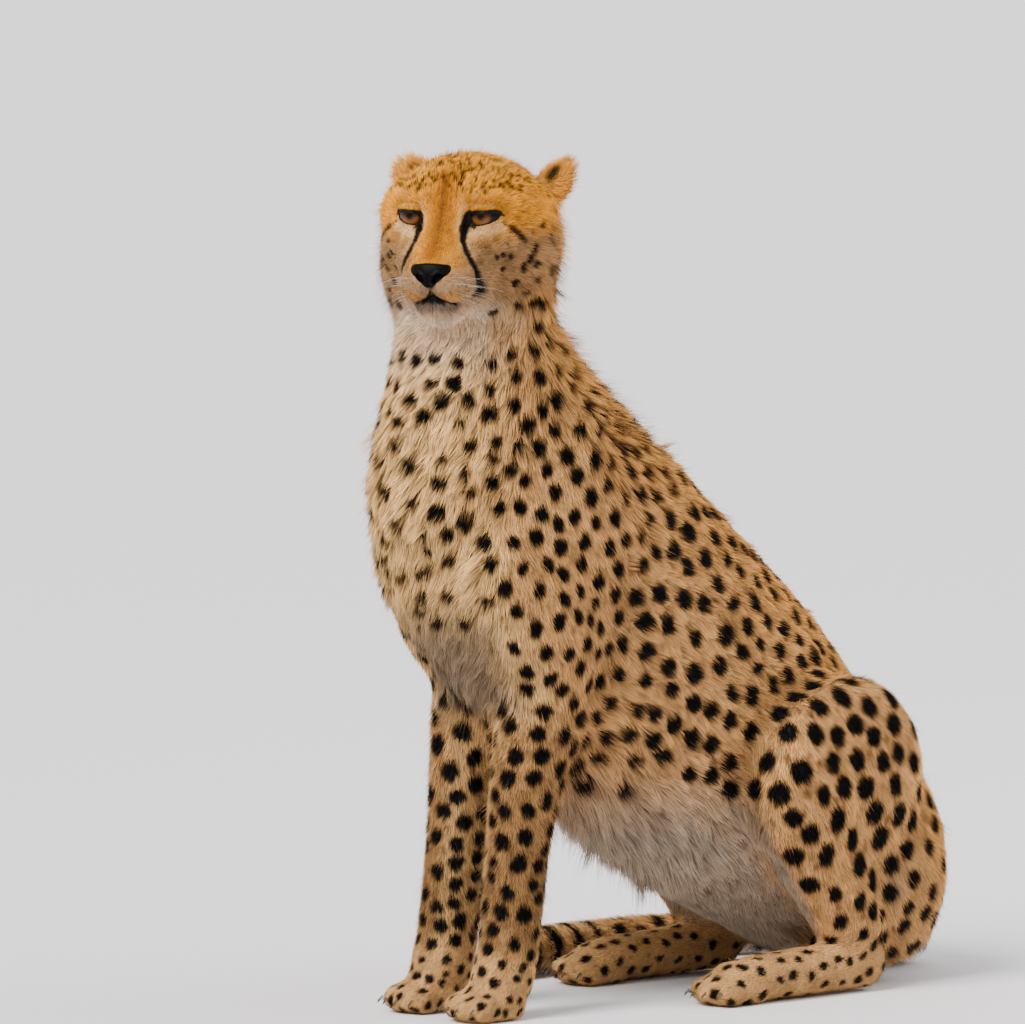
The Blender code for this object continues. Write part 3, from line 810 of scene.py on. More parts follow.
CHEEK_SPOTS = [
    # left, forward, up and size, in millimetres; on both sides
    (56, 16, -41, 1.8), (62, 11, -38, 2.0), (69, 5, -41, 2.6), (81, -18, -44, 3.6), (84, -24, -36, 3.3),
    (89, -53, -33, 3.2), (59, 5, -53, 2.6), (76, -13, -54, 3.1), (85, -26, -52, 3.0), (89, -48, -60, 3.6),
    (68, -10, -69, 3.0), (84, -31, -68, 2.6), (68, 8, -26, 1.2), (73, -41, -92, 5.0), (62, -26, -96, 3.6),
    (81, -76, -83, 3.6), (77, -104, -113, 3.8), (78, -70, -123, 3.6), (87, -37, -11, 2.2),
    (90, -66, -48, 3.0), (88, -62, -74, 3.2), (74, -24, -80, 2.5), (88, -60, -15, 2.6),
]


def whisker_roots(side):
    """Rows of whisker roots on a side of the muzzle, in the head's frame, in millimetres."""
    roots = []
    for row, (height, count) in enumerate([(-60, 4), (-65, 5), (-70, 5), (-75, 4)]):
        for i in range(count):
            left = 15 + 5.2 * i + 1.2 * (row % 2)
            roots.append((side * left, 62 - 0.55 * (left - 12), height - 0.8 * i))
    return roots


class Spots:
    """Dark ovals on the skin, each drawn out along the hair."""

    # the columns of the table
    PLACE, WAY, LONG, BROAD, COLOUR, STRENGTH = slice(3), slice(3, 6), 6, 7, slice(8, 11), 11
    NEAREST = 3  # how many spots are looked at for each point

    def __init__(self):
        self.rows = []

    def add(self, centre, way, long, broad, colour=BLACK, strength=1.0):
        self.rows.append((*centre, *way, long, broad, *colour, strength))

    def close(self):
        self.table = np.array(self.rows)
        self.tree = tree_of(self.table[:, self.PLACE])

    def paint(self, points, colours, grain=0.0):
        """Colours with the spots drawn over them; a grain makes each point's edge uncertain."""
        wobble = np.stack([waves(points, 0.008, 11 + i) for i in range(3)], 1) * 1.3 * MM
        wobble += np.stack([waves(points, 0.0035, 21 + i) for i in range(3)], 1) * 0.5 * MM
        moved = points + wobble
        near = [self.tree.find_n(Vector(p), self.NEAREST) for p in moved]
        best = np.zeros(len(points))
        which = np.zeros(len(points), int)
        for k in range(self.NEAREST):
            index = np.array([found[k][1] for found in near])
            row = self.table[index]
            away = moved - row[:, self.PLACE]
            along = dot(away, row[:, self.WAY])
            across = np.sqrt(np.maximum(dot(away, away) - along**2, 0))
            size = np.hypot(along / row[:, self.LONG], across / row[:, self.BROAD])
            soft = 0.16 + 0.25 * MM / row[:, self.BROAD]
            if grain:
                size = size + rng.normal(0, grain, len(size)) * soft
            weight = row[:, self.STRENGTH] * ease(1 + soft, 1 - soft, size)
            better = weight > best
            best[better] = weight[better]
            which[better] = index[better]
        return mix(colours, self.table[which, self.COLOUR], best)


MOST_TRIES = 40_000
EVENING_SAMPLE = 50_000
EVENING_ROUNDS = 2


def scattered(allowed, gap, seed):
    """Indices of skin points, spread so that none is nearer to another than its gap."""
    local = np.random.default_rng(seed)
    order = local.permutation(np.flatnonzero(allowed))[:MOST_TRIES]
    cell = gap[order].max()
    cells = np.floor(inner[order] / cell).astype(int)
    taken, chosen = {}, []
    around = [(x, y, z) for x in (-1, 0, 1) for y in (-1, 0, 1) for z in (-1, 0, 1)]
    for i, (x, y, z) in zip(order, cells.tolist()):
        near = [j for dx, dy, dz in around for j in taken.get((x + dx, y + dy, z + dz), ())]
        if near and apart(inner[near], inner[i]).min() < gap[i]:
            continue
        chosen.append(i)
        taken.setdefault((x, y, z), []).append(i)
    return np.array(chosen)


def turned(ways, normals, angle):
    """Directions turned about the normals."""
    angle = np.asarray(angle)[..., None]
    return ways * np.cos(angle) + np.cross(normals, ways) * np.sin(angle)


def evened(chosen, allowed, gap, seed):
    """The chosen points moved towards the middles of the skin that is nearest to each."""
    local = np.random.default_rng(seed)
    sample = local.permutation(np.flatnonzero(allowed))[:EVENING_SAMPLE]
    points_tree = tree_of(inner[sample])
    for _ in range(EVENING_ROUNDS):
        tree = tree_of(inner[chosen])
        nearest = np.array([tree.find(Vector(p))[1] for p in inner[sample]])
        heavy = 1 / gap[sample] ** 2
        total = np.bincount(nearest, heavy, len(chosen))
        middles = np.stack([
            np.bincount(nearest, heavy * inner[sample, axis], len(chosen)) for axis in range(3)
        ], 1) / np.maximum(total, 1e-9)[:, None]
        goal = inner[chosen] + 0.7 * (middles - inner[chosen])
        moved = [sample[points_tree.find(Vector(p))[1]] for p in goal]
        chosen = np.where(total > 0, moved, chosen)
    return np.unique(chosen)


# Where the main spots are, and the small dark flecks of the crown.
nape_side = part("head") * ease(-0.040, -0.065, head_y) * ease(0.035, 0.005, head_z)
on_body = 1 - part("head") - part("ear")
speckled = part("head") * ease(0.020, 0.040, head_z) * ease(0.034, 0.010, head_y)
speckled *= ease(-0.155, -0.120, head_y)


def bareness(i):
    """The chance that a main spot at a point of the skin is left out."""
    on_front = ease(0.55, 0.92, -to_back[i])
    on_throat = ease(0.20, -0.10, to_back[i]) * ease(0.700, 0.722, height[i])
    return max(
        0.35 * part("chest")[i] * on_front,
        ease(0.25, 0.6, pale_under[i]),
        0.8 * forelegs_painted_shade[i],
        (part("neck")[i] + part("head")[i]) * on_throat,
    )


def main_spots(spots, chosen, grown):
    """The spots at the chosen points, less those left out, and a tree of all the points."""
    tree = tree_of(inner[chosen])
    for i in chosen:
        size = rng.uniform(0.85, 1.15) * grown[i]
        way = turned(lie[i], skin_normals[i], rng.normal(0, 0.25))
        long, broad = values["long"][i] * size, values["broad"][i] * size * rng.uniform(0.9, 1.1)
        if nape_side[i] > 0.4:
            long, broad = 5.5 * MM * size, 4.4 * MM * size
        room = 0.43 * tree.find_n(Vector(inner[i]), 2)[1][2]  # so that no spot runs into the next
        bare = bareness(i)
        if rng.uniform() >= bare:
            spots.add(inner[i], way, min(long, 1.08 * room), min(broad, room))
    return tree


def small_spots(spots, main, gap):
    """Small faint brown spots, in some of the gaps between the main ones."""
    far_off = np.array([main.find(Vector(p))[2] for p in inner[::3]])
    between = np.zeros(len(inner), bool)
    between[::3] = far_off > 0.62 * gap[::3]
    between &= (on_body > 0.6) & (part("tail") < 0.4)
    for i in scattered(between, 0.5 * gap, 47):
        if rng.uniform() < 0.35:
            size = rng.uniform(0.18, 0.36)
            long, broad = values["long"][i] * size * 1.2, values["broad"][i] * size
            spots.add(inner[i], lie[i], long, broad, SPOT_BROWN, rng.uniform(0.45, 0.8))


def crown_flecks(spots):
    """Small dark flecks, from brown to nearly black."""
    for i in scattered(speckled > 0.15, np.full(len(inner), 6.0 * MM), 53):
        if rng.uniform() < speckled[i]:
            size = 3.2 * rng.uniform(0.55, 1.3) * MM
            colour = mix(FLECK_DARK, FLECK_BROWN, rng.uniform(0, 1))
            spots.add(inner[i], lie[i], size, size, colour, rng.uniform(0.9, 1.0))


def make_spots():
    spots = Spots()
    allowed = ((on_body > 0.45) | (nape_side > 0.4)) & ~((part("tail") > 0.5) & (to_end < 0.205))
    grown = 1 + 0.10 * waves(inner, 0.12, 5)
    gap = 0.80 * np.where(nape_side > 0.4, 24 * MM, values["spacing"]) * grown
    chosen = evened(scattered(allowed, gap, 41), allowed, gap, 43)
    small_spots(spots, main_spots(spots, chosen, grown), gap)
    crown_flecks(spots)
    for left, forward, up, radius in CHEEK_SPOTS:
        for side in SIDES.values():
            place = on_skin(side * left, forward, up)
            spots.add(place, lie[nearest_point.find(place)[1]], radius * 1.45 * MM, radius * 1.80 * MM)
    for side in SIDES.values():
        for root in whisker_roots(side):
            place = on_skin(*root)
            spots.add(place, lie[nearest_point.find(place)[1]], 1.3 * MM, 0.9 * MM, strength=0.75)
    spots.close()
    return spots


nearest_point = tree_of(inner)
spots = make_spots()
line_strokes = [
    (stroke, np.array(colour), strength, edge)
    for line, radius, colour, strength, edge in FACE_LINES
    for stroke in strokes(surface, line, radius)
]


# Black rings round the end of the tail: how far from its tip each begins and ends, in metres.
TAIL_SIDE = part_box("tail_4")[1][0] + 0.004  # the rings stay to the right of this
RINGS = [(0.054, 0.076), (0.096, 0.118), (0.139, 0.157), (0.178, 0.192)]


def ringed(points, colours):
    """Colours with the rings round the end of the tail."""
    far = apart(points, tail_end) + 2 * MM * waves(points, 0.012, 81)
    for start, stop in RINGS:
        ring = ease(start - MM, start + MM, far) * ease(stop + MM, stop - MM, far)
        colours = mix(colours, BLACK, ring * (points[:, 0] < TAIL_SIDE))
    return colours


def near_eye(points, side):
    """The points near an eye, and their distances from its opening's edge and its middle."""
    close = np.flatnonzero(apart(points, eye_middles[side]) < EYE_REACH)
    return close, *lid_distance(points[close], side)


def marked(points, colours, grain=0.0):
    """Ground colours with the spots, the face's lines and the dark rims of the eyes."""
    colours = ringed(points, spots.paint(points, colours, grain))
    on_head = apart(points, BROW) < HEAD_REACH
    near = points[on_head]
    if grain:
        near = near + rng.normal(0, 0.35 * MM, near.shape)
    for stroke, colour, strength, edge in line_strokes:
        colours[on_head] = mix(colours[on_head], colour, strength * stroke.weight(near, edge))
    for side in SIDES:
        close, gap, far = near_eye(points, side)
        wide = (2.0 + 3.4 * above_eye(points[close], side)) * MM
        rim = ease(wide, 0.65 * wide, gap) * (in_head(points[close])[:, 1] > 0)
        rim *= ease(EYE_RADIUS + 10 * MM, EYE_RADIUS + 7 * MM, far)
        colours[close] = mix(colours[close], BLACK, rim)
    return colours


# ------------ materials
def material(name, roughness, specular=0.5, colour=None):
    """A new material, its tree of nodes and its shader."""
    made = bpy.data.materials.new(name)
    made.use_nodes = True
    shader = made.node_tree.nodes["Principled BSDF"]
    shader.inputs["Roughness"].default_value = roughness
    shader.inputs["Specular IOR Level"].default_value = specular
    if colour is not None:
        shader.inputs["Base Color"].default_value = (*colour, 1)
    return made, made.node_tree, shader


def node(tree, kind_of_node, **settings):
    made = tree.nodes.new(kind_of_node)
    for key, value in settings.items():
        setattr(made, key, value)
    return made


def pattern(tree, kind_of_node, scale):
    """A pattern over the object's own coordinates."""
    coordinates = node(tree, "ShaderNodeTexCoord")
    texture = node(tree, kind_of_node)
    texture.inputs["Scale"].default_value = scale
    tree.links.new(coordinates.outputs["Object"], texture.inputs["Vector"])
    return texture


def noise(tree, scale, detail=3.0):
    texture = pattern(tree, "ShaderNodeTexNoise", scale)
    texture.inputs["Detail"].default_value = detail
    return texture.outputs["Fac"]


def bump(tree, shader, height, strength, distance):
    made = node(tree, "ShaderNodeBump")
    made.inputs["Strength"].default_value = strength
    made.inputs["Distance"].default_value = distance
    tree.links.new(height, made.inputs["Height"])
    tree.links.new(made.outputs["Normal"], shader.inputs["Normal"])


def painted(tree, shader, low, high, scale):
    """The marks, made lighter and darker by fine noise."""
    attribute = node(tree, "ShaderNodeAttribute", attribute_name=MARKS)
    light = node(tree, "ShaderNodeMapRange")
    light.inputs["To Min"].default_value = low
    light.inputs["To Max"].default_value = high
    tree.links.new(noise(tree, scale), light.inputs["Value"])
    scaled = node(tree, "ShaderNodeVectorMath", operation="SCALE")
    tree.links.new(attribute.outputs["Color"], scaled.inputs[0])
    tree.links.new(light.outputs["Result"], scaled.inputs["Scale"])
    tree.links.new(scaled.outputs["Vector"], shader.inputs["Base Color"])


def mottled(tree, shader, scale, dark, light):
    """Patches of two colours."""
    colours = node(tree, "ShaderNodeValToRGB")
    colours.color_ramp.elements[0].color = (*dark, 1)
    colours.color_ramp.elements[1].color = (*light, 1)
    tree.links.new(noise(tree, scale, 4), colours.inputs["Fac"])
    tree.links.new(colours.outputs["Color"], shader.inputs["Base Color"])


def skin_material():
    made, tree, shader = material("skin", 0.75, 0.25)
    painted(tree, shader, 0.55, 1.0, 420)
    bump(tree, shader, noise(tree, 900, 4), 0.5, 0.0006)
    return made


def coat_material():
    made, tree, shader = material("coat", 0.58, 0.05)
    painted(tree, shader, 0.86, 1.14, 700)
    return made


def eye_material():
    made, tree, shader = material("eye", 0.10, 0.15)
    painted(tree, shader, 0.9, 1.1, 900)
    return made


def rim_material():
    made, tree, shader = material("eye_rim", 0.55, 0.12, BLACK)
    bump(tree, shader, noise(tree, 1500, 3), 0.4, 0.0002)
    return made


def nose_material():
    made, tree, shader = material("nose", 0.42, 0.06)
    mottled(tree, shader, 300, (0.0006, 0.0005, 0.0005), (0.0022, 0.0018, 0.0018))
    pebbles = pattern(tree, "ShaderNodeTexVoronoi", 1100)
    bump(tree, shader, pebbles.outputs["Distance"], 0.5, 0.0004)
    return made


def claw_material():
    made, tree, shader = material("horn", 0.35)
    mottled(tree, shader, 260, (0.030, 0.020, 0.014), (0.120, 0.085, 0.060))
    bump(tree, shader, noise(tree, 700, 2), 0.3, 0.0003)
    return made


# ------------ the coat
PIECES = {
    "coat_head": ("head",),
    "coat_ears": ("ear",),
    "coat_neck": ("neck",),
    "coat_chest": ("chest",),
    "coat_belly": ("belly",),
    "coat_rump": ("rump",),
    "coat_foreleg": ("upper_arm", "forearm", "forepaw"),
    "coat_hindleg": ("thigh", "shank", "hind_foot"),
    "coat_tail": ("tail",),
}
WHOLE = ("coat_ears", "coat_rump", "coat_tail")  # the rest are in a left and a right piece


def piece_numbers():
    """The piece of the coat that each triangle of the skin belongs to, and the pieces' names."""
    names, of_point = [], np.zeros(len(inner), int)
    kinds = of_node(kind)
    for name, members in PIECES.items():
        inside = np.isin(kinds, members)
        if name in WHOLE:
            of_point[inside] = len(names)
            names.append(name)
            continue
        if name == "coat_head":
            is_left = head_x > 0
        elif name in ("coat_neck", "coat_chest", "coat_belly"):
            is_left = inner[:, 0] > MIDDLE_X
        else:
            is_left = of_node(lambda name: name.endswith("left"))
        for side, picked in (("left", is_left), ("right", ~is_left)):
            of_point[inside & picked] = len(names)
            names.append(f"{name}_{side}")
    return names, of_point


def unwrap(triangles):
    """Where each corner of some of the skin's triangles lies on an unwrap of their own shape."""
    used, renumbered = np.unique(triangles, return_inverse=True)
    mesh = mesh_from("unwrap", inner[used], renumbered.reshape(-1, 3))
    sheet = new_object("unwrap", mesh)
    bpy.context.view_layer.objects.active = sheet
    sheet.select_set(True)
    bpy.ops.object.mode_set(mode="EDIT")
    bpy.ops.mesh.select_all(action="SELECT")
    bpy.ops.uv.smart_project(angle_limit=math.radians(70), island_margin=0.003)
    bpy.ops.object.mode_set(mode="OBJECT")
    corners = read(mesh.uv_layers.active.data, "uv", 2).reshape(-1, 3, 2)
    bpy.data.objects.remove(sheet)
    return corners


PATCH = 0.003  # how far across its patch on the unwrap each tuft is
# A tuft is a closed spike on three points, dark at its root with painted shade where the tufts shade
# each other. It takes its colour from where most of it shows, so that the spots have crisp edges.
TUFT_FACES = np.array(((0, 1, 3), (1, 2, 3), (2, 0, 3), (0, 2, 1)))
ROOT_PAINTED_SHADE, TIP_LIGHT = 0.44, 1.24
ROOT_SHOWS, TIP_SHOWS = 0.46, 0.82  # where a tuft takes its two colours, from root to tip


def tufts(name, roots, across, normals, tips, width, low_colours, colours, uv):
    """Closed spikes that lie along the body, as one mesh."""
    count = len(roots)
    points = np.empty((count, 4, 3))
    half = (width / 2)[:, None]
    points[:, 0] = roots - across * half
    points[:, 1] = roots + across * half
    points[:, 2] = roots + normals * half * 0.9
    points[:, 3] = tips
    points[:, :, 2] = np.maximum(points[:, :, 2], LOWEST)
    paint = np.stack((low_colours * ROOT_PAINTED_SHADE,) * 3 + (colours * TIP_LIGHT,), axis=1)
    faces = (TUFT_FACES[None] + 4 * np.arange(count)[:, None, None]).reshape(-1, 3)
    mesh = bpy.data.meshes.new(name)
    mesh.vertices.add(count * 4)
    mesh.loops.add(len(faces) * 3)
    mesh.polygons.add(len(faces))
    mesh.vertices.foreach_set("co", points.ravel())
    mesh.loops.foreach_set("vertex_index", faces.ravel())
    mesh.polygons.foreach_set("loop_start", np.arange(len(faces)) * 3)
    mesh.update(calc_edges=True)
    mesh.shade_smooth()
    put_colours(mesh, paint.reshape(-1, 3))
    corners = np.array(((-0.5, -0.5), (0.5, -0.5), (0, -0.2), (0, 0.5)))
    patch = np.clip(uv[:, None] + corners * PATCH * 0.95, 0.0005, 0.9995).reshape(-1, 2)
    layer = mesh.uv_layers.new(name="OFBake")
    layer.data.foreach_set("uv", patch[faces.ravel()].ravel())
    soft = np.repeat(normals, 4, axis=0)
    mesh.normals_split_custom_set_from_vertices(unit(normals_of(mesh) * 0.4 + soft * 0.6).tolist())
    return new_object(name, mesh)


def locks(roots, share, local):
    """The tuft that leads the lock that each tuft belongs to: a share of them are leaders."""
    leaders = local.permutation(len(roots))[: max(int(len(roots) * share), 1)]
    tree = tree_of(roots[leaders])
    return leaders[[tree.find(Vector(p))[1] for p in roots]]


# How far the tips of a lock's tufts are drawn to its leader's tip.
LOCKED = {"coat_neck": 0.40, "coat_chest": 0.42, "coat_belly": 0.36, "coat_tail": 0.25, "coat_head": 0.12}
LEADERS = 0.035  # the share of the tufts that lead a lock
TINY = 0.3 * MM
LOWEST_TILT = 5  # degrees
GUARD_WIDTH, GUARD_TILT = 0.65, 18  # guard hairs are narrower, and stand out by more degrees
DARK_HAIRS = 0.07
EDGE_GRAIN = 0.4  # how ragged the coat makes the edges of the marks


def sown(triangles, local, thinner):
    """Where each tuft grows: the number of its triangle, and the shares of its three corners."""
    corners = inner[triangles]
    area = apart(np.cross(corners[:, 1] - corners[:, 0], corners[:, 2] - corners[:, 0]), 0) / 2
    dense = (values["dense"] * seen)[triangles].mean(1) * 1e4 * thinner
    expected = area * dense * clear_of_eyes[triangles].mean(1)
    count = min(int(expected.sum()), COAT_TRIANGLES // len(TUFT_FACES))
    steps = (np.arange(count) + local.uniform(0, 1, count)) / count
    picked = np.searchsorted(np.cumsum(expected) / expected.sum(), steps).clip(0, len(triangles) - 1)
    a, b = local.uniform(size=(2, count))
    over = a + b > 1
    a[over], b[over] = 1 - a[over], 1 - b[over]
    return picked, np.stack((1 - a - b, a, b), 1)


def tinted(plain, roots, leader, local):
    """The coat's colour, with tufts and locks lighter, darker, warmer and cooler."""
    count = len(roots)
    tint = 1 + 0.14 * local.normal(0, 1, count) + 0.13 * local.normal(0, 1, count)[leader]
    tint += 0.10 * waves(roots, 0.012, 66) + 0.06 * waves(roots, 0.03, 67)
    tint = np.where(local.uniform(size=count) < DARK_HAIRS, 0.5 * tint, tint)
    warm = local.normal(0, 0.04, count)
    return plain * np.clip(tint, 0.35, 1.4)[:, None] * (1 + warm[:, None] * np.array((1, 0, -1)))


def grow(name, triangles, thinner):
    """One piece of the coat, over some of the skin's triangles."""
    local = np.random.default_rng(sum(map(ord, name)))
    picked, portion = sown(triangles, local, thinner)
    three = triangles[picked]
    count = len(three)

    def at(field):
        return np.einsum("nk,nk...->n...", portion, field[three])

    roots = at(inner)
    normals = unit(at(skin_normals))
    ways = along_skin(at(lie), normals)
    loose = at(values["loose"])
    angle = 0.18 * waves(roots, 0.05, 61) + 0.30 * loose * waves(roots, 0.013, 62)
    ways = turned(ways, normals, angle + local.normal(0, 0.07, count) * (1 + loose))
    length = at(values["length"]) * local.uniform(0.75, 1.15, count)
    length *= 1 + 0.15 * loose * waves(roots, 0.02, 63)
    width = at(values["width"]) * local.uniform(0.7, 1.15, count)
    tilt = at(values["tilt"]) + local.normal(0, 3, count) + 5 * loose * waves(roots, 0.016, 64)
    guard = local.uniform(size=count) < at(values["wisp"])
    length[guard] *= local.uniform(1.5, 2.3, guard.sum())
    width[guard] *= GUARD_WIDTH
    tilt[guard] += GUARD_TILT
    tilt = np.radians(np.maximum(tilt, LOWEST_TILT))
    tips = roots + (ways * np.cos(tilt)[:, None] + normals * np.sin(tilt)[:, None]) * length[:, None]
    leader = locks(roots, LEADERS, local)
    base_name = name.removesuffix("_left").removesuffix("_right")
    away = tips + LOCKED.get(base_name, 0.10) * (tips[leader] - tips) - roots
    low = np.maximum(dot(away, normals), TINY)
    away = away + normals * (low - dot(away, normals))[:, None]
    along = away - normals * low[:, None]
    plain = tinted(at(ground), roots, leader, local)
    low_colours = marked(roots + along * ROOT_SHOWS, plain, EDGE_GRAIN)
    colours = marked(roots + along * TIP_SHOWS, plain, EDGE_GRAIN)
    uv = np.einsum("nk,nkc->nc", portion, unwrap(triangles)[picked])
    across = unit(np.cross(normals, away))
    piece = tufts(name, roots, across, normals, roots + away, width, low_colours, colours, uv)
    piece.data.materials.append(coat_look)
    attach(piece, "root")


# The coat is a little thinner where it is hardly seen: inside the legs and underneath.
inner_leg = ease(0.3, 0.9, inward) * (height < 0.35)
below = ease(0.5, 0.9, -to_top) * (height < 0.08)
seen = 1 - 0.30 * inner_leg * (1 - part("tail")) - 0.6 * below * (1 - inner_leg)

coat_look = coat_material()
# the skin takes the coat's marks, darkened by painted shade under the coat
put_colours(skin.data, marked(inner, ground) * 0.8)
skin.data.materials.append(skin_material())
skin.data.shade_smooth()
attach(skin, "root")
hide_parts(*flesh)

# No tufts grow in the eyes' openings or under the nose pad, and they are short round the eyes.
clear_of_eyes = np.ones(len(inner))
for side in SIDES:
    close, gap, far = near_eye(inner, side)
    ahead = (in_head(inner[close])[:, 1] > -0.001) & (far < EYE_RADIUS + 7 * MM)
    clear_of_eyes[close] *= np.where(ahead, ease(1.8 * MM, 3.0 * MM, gap), 1)
    values["length"][close] *= np.where(ahead, 0.45 + 0.55 * ease(2 * MM, 14 * MM, gap), 1)
in_nose = apart((head - np.array((0, 0.066, -0.055))) / np.array((0.021, 0.02, 0.012)), 0)
clear_of_eyes *= ease(0.85, 1.05, in_nose)

piece_names, of_point = piece_numbers()
all_triangles = triangles_of(skin.data)
of_triangle = of_point[all_triangles[:, 0]]
for number, name in enumerate(piece_names):
    grow(name, all_triangles[of_triangle == number], 1.0)


# ------------ lids, eyes, nose and whiskers
def strip(count, width, wrap):
    """Faces between rows of a grid of points; wrap joins the last column to the first."""
    faces = []
    for i in range(count - 1):
        for j in range(width if wrap else width - 1):
            k = (j + 1) % width
            faces.append((i * width + j, i * width + k, (i + 1) * width + k, (i + 1) * width + j))
    return faces


def smooth_object(name, points, faces):
    """A closed, smooth object whose faces all look outward."""
    mesh = mesh_from(name, points, faces)
    bm = bmesh.new()
    bm.from_mesh(mesh)
    bmesh.ops.recalc_face_normals(bm, faces=bm.faces)
    bm.to_mesh(mesh)
    bm.free()
    mesh.shade_smooth()
    return new_object(name, mesh)


# A lid's section: how far outside the opening's edge, and how far above the eyeball, in mm.
LID_SECTION = [
    (0.6, -1.2), (0.05, -0.35), (-0.1, 0.15), (0.05, 0.55), (0.5, 0.90), (1.1, 1.10), (1.8, 1.05),
    (2.4, 0.75), (2.8, 0.10), (2.6, -1.2),
]


def lids(side):
    """The dark rim of both lids, rounded over at the edge, as one closed ring."""
    loop = opening_outline(96)
    way = unit(np.roll(loop, -1, 0) - np.roll(loop, 1, 0))
    out = np.stack((way[:, 1], -way[:, 0]), 1)
    out *= np.sign(dot(out, loop - loop.mean(0)))[:, None]
    for _ in range(2):
        out = unit(out + np.roll(out, 1, 0) + np.roll(out, -1, 0))
    heavy = (0.45 + 0.55 * ease(-0.3, 0.5, out[:, 1]))[:, None]  # the upper lid is thicker
    rows = []
    for away, above in LID_SECTION:
        degrees = loop + out * heavy * math.degrees(away * MM / EYE_RADIUS)
        rows.append(from_eye(degrees[:, 0], degrees[:, 1], EYE_RADIUS + above * MM, side))
    faces = strip(len(rows), len(loop), True)
    last = (len(rows) - 1) * len(loop)
    faces += [(last + j, last + (j + 1) % len(loop), (j + 1) % len(loop), j) for j in range(len(loop))]
    return smooth_object("lids_" + side, np.concatenate(rows), faces)


IRIS_EDGE = 41.0  # degrees from the gaze
PUPIL_EDGE = 8.5
CORNEA_EDGE = 44
CORNEA_BULGE = 0.9 * MM
IRIS_COLOURS = [
    # degrees from the gaze, colour
    (0.0, (0.001, 0.001, 0.001)),
    (7.6, (0.001, 0.001, 0.001)),
    (9.4, (0.03, 0.009, 0.003)),
    (14.0, (0.10, 0.032, 0.006)),
    (25.0, (0.17, 0.062, 0.013)),
    (33.0, (0.12, 0.040, 0.008)),
    (38.5, (0.03, 0.010, 0.004)),
    (41.0, (0.010, 0.005, 0.003)),
    (52.0, (0.006, 0.004, 0.003)),
    (180.0, (0.006, 0.004, 0.003)),
]


def iris_colours(degrees, turn):
    """The colours of the eye's points, by their angle from the gaze and their turn round it."""
    stops = np.array([stop for stop, _ in IRIS_COLOURS])
    shades = np.array([shade for _, shade in IRIS_COLOURS])
    colours = np.stack([np.interp(degrees, stops, shades[:, k]) for k in range(3)], 1)
    fibres = sum(np.sin(turn * n + p) for n, p in ((23, 0.3), (41, 1.1), (57, 2.6), (64, 4.0))) / 4
    in_iris = ease(PUPIL_EDGE, 14, degrees) * ease(IRIS_EDGE, 33, degrees)
    return colours * (1 + 0.28 * fibres * in_iris)[:, None]


def eyeball(side):
    """A ball with a bulging cornea, its iris painted on its points."""
    around = 128
    polar = np.concatenate((np.linspace(0.5, 46, 72), np.linspace(50, 179, 30)))
    degrees = np.repeat(polar, around)
    turn = np.tile(np.linspace(0, 2 * math.pi, around, endpoint=False), len(polar))
    far = EYE_RADIUS + CORNEA_BULGE * np.clip(1 - (degrees / CORNEA_EDGE) ** 2, 0, 1)
    gaze = unit((0.04 * SIDES[side], math.cos(GAZE_UP), math.sin(GAZE_UP)))
    right = unit(np.cross(gaze, (0, 0, 1)))
    above = np.cross(right, gaze)
    theta = np.radians(degrees)
    spoke = np.cos(turn)[:, None] * right + np.sin(turn)[:, None] * above
    local = (np.cos(theta)[:, None] * gaze + np.sin(theta)[:, None] * spoke) * far[:, None]
    points = from_head(local + EYE_PLACES[side])
    # painted shadow of the upper lid: the ball darker towards its top
    lid_shade = ease(-0.22, 0.26, dot(points - eye_middles[side], HEAD_AXES[2]) / EYE_RADIUS)
    faces = strip(len(polar), around, True)
    last = (len(polar) - 1) * around
    faces += [tuple(range(around))[::-1], tuple(range(last, last + around))]
    made = smooth_object("eyeball_" + side, points, faces)
    put_colours(made.data, iris_colours(degrees, turn) * (1 - 0.88 * lid_shade)[:, None])
    made.data.materials.append(eye_look)
    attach(made, "root")
    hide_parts("eye_" + side)


# In millimetres, in the head's frame.
NOSTRIL = [(7.0, -61.5), (8.6, -58.0), (12.0, -55.8), (16.8, -56.6)]
NOSTRIL_DEPTH = 4.5
WING_HEIGHT = 0.9
PAD_THICKNESS = 2.0  # how far the pad stands out of the skin
PAD_SUNK = 1.6  # how far its edge lies behind it
PAD_BACK = 4 * MM


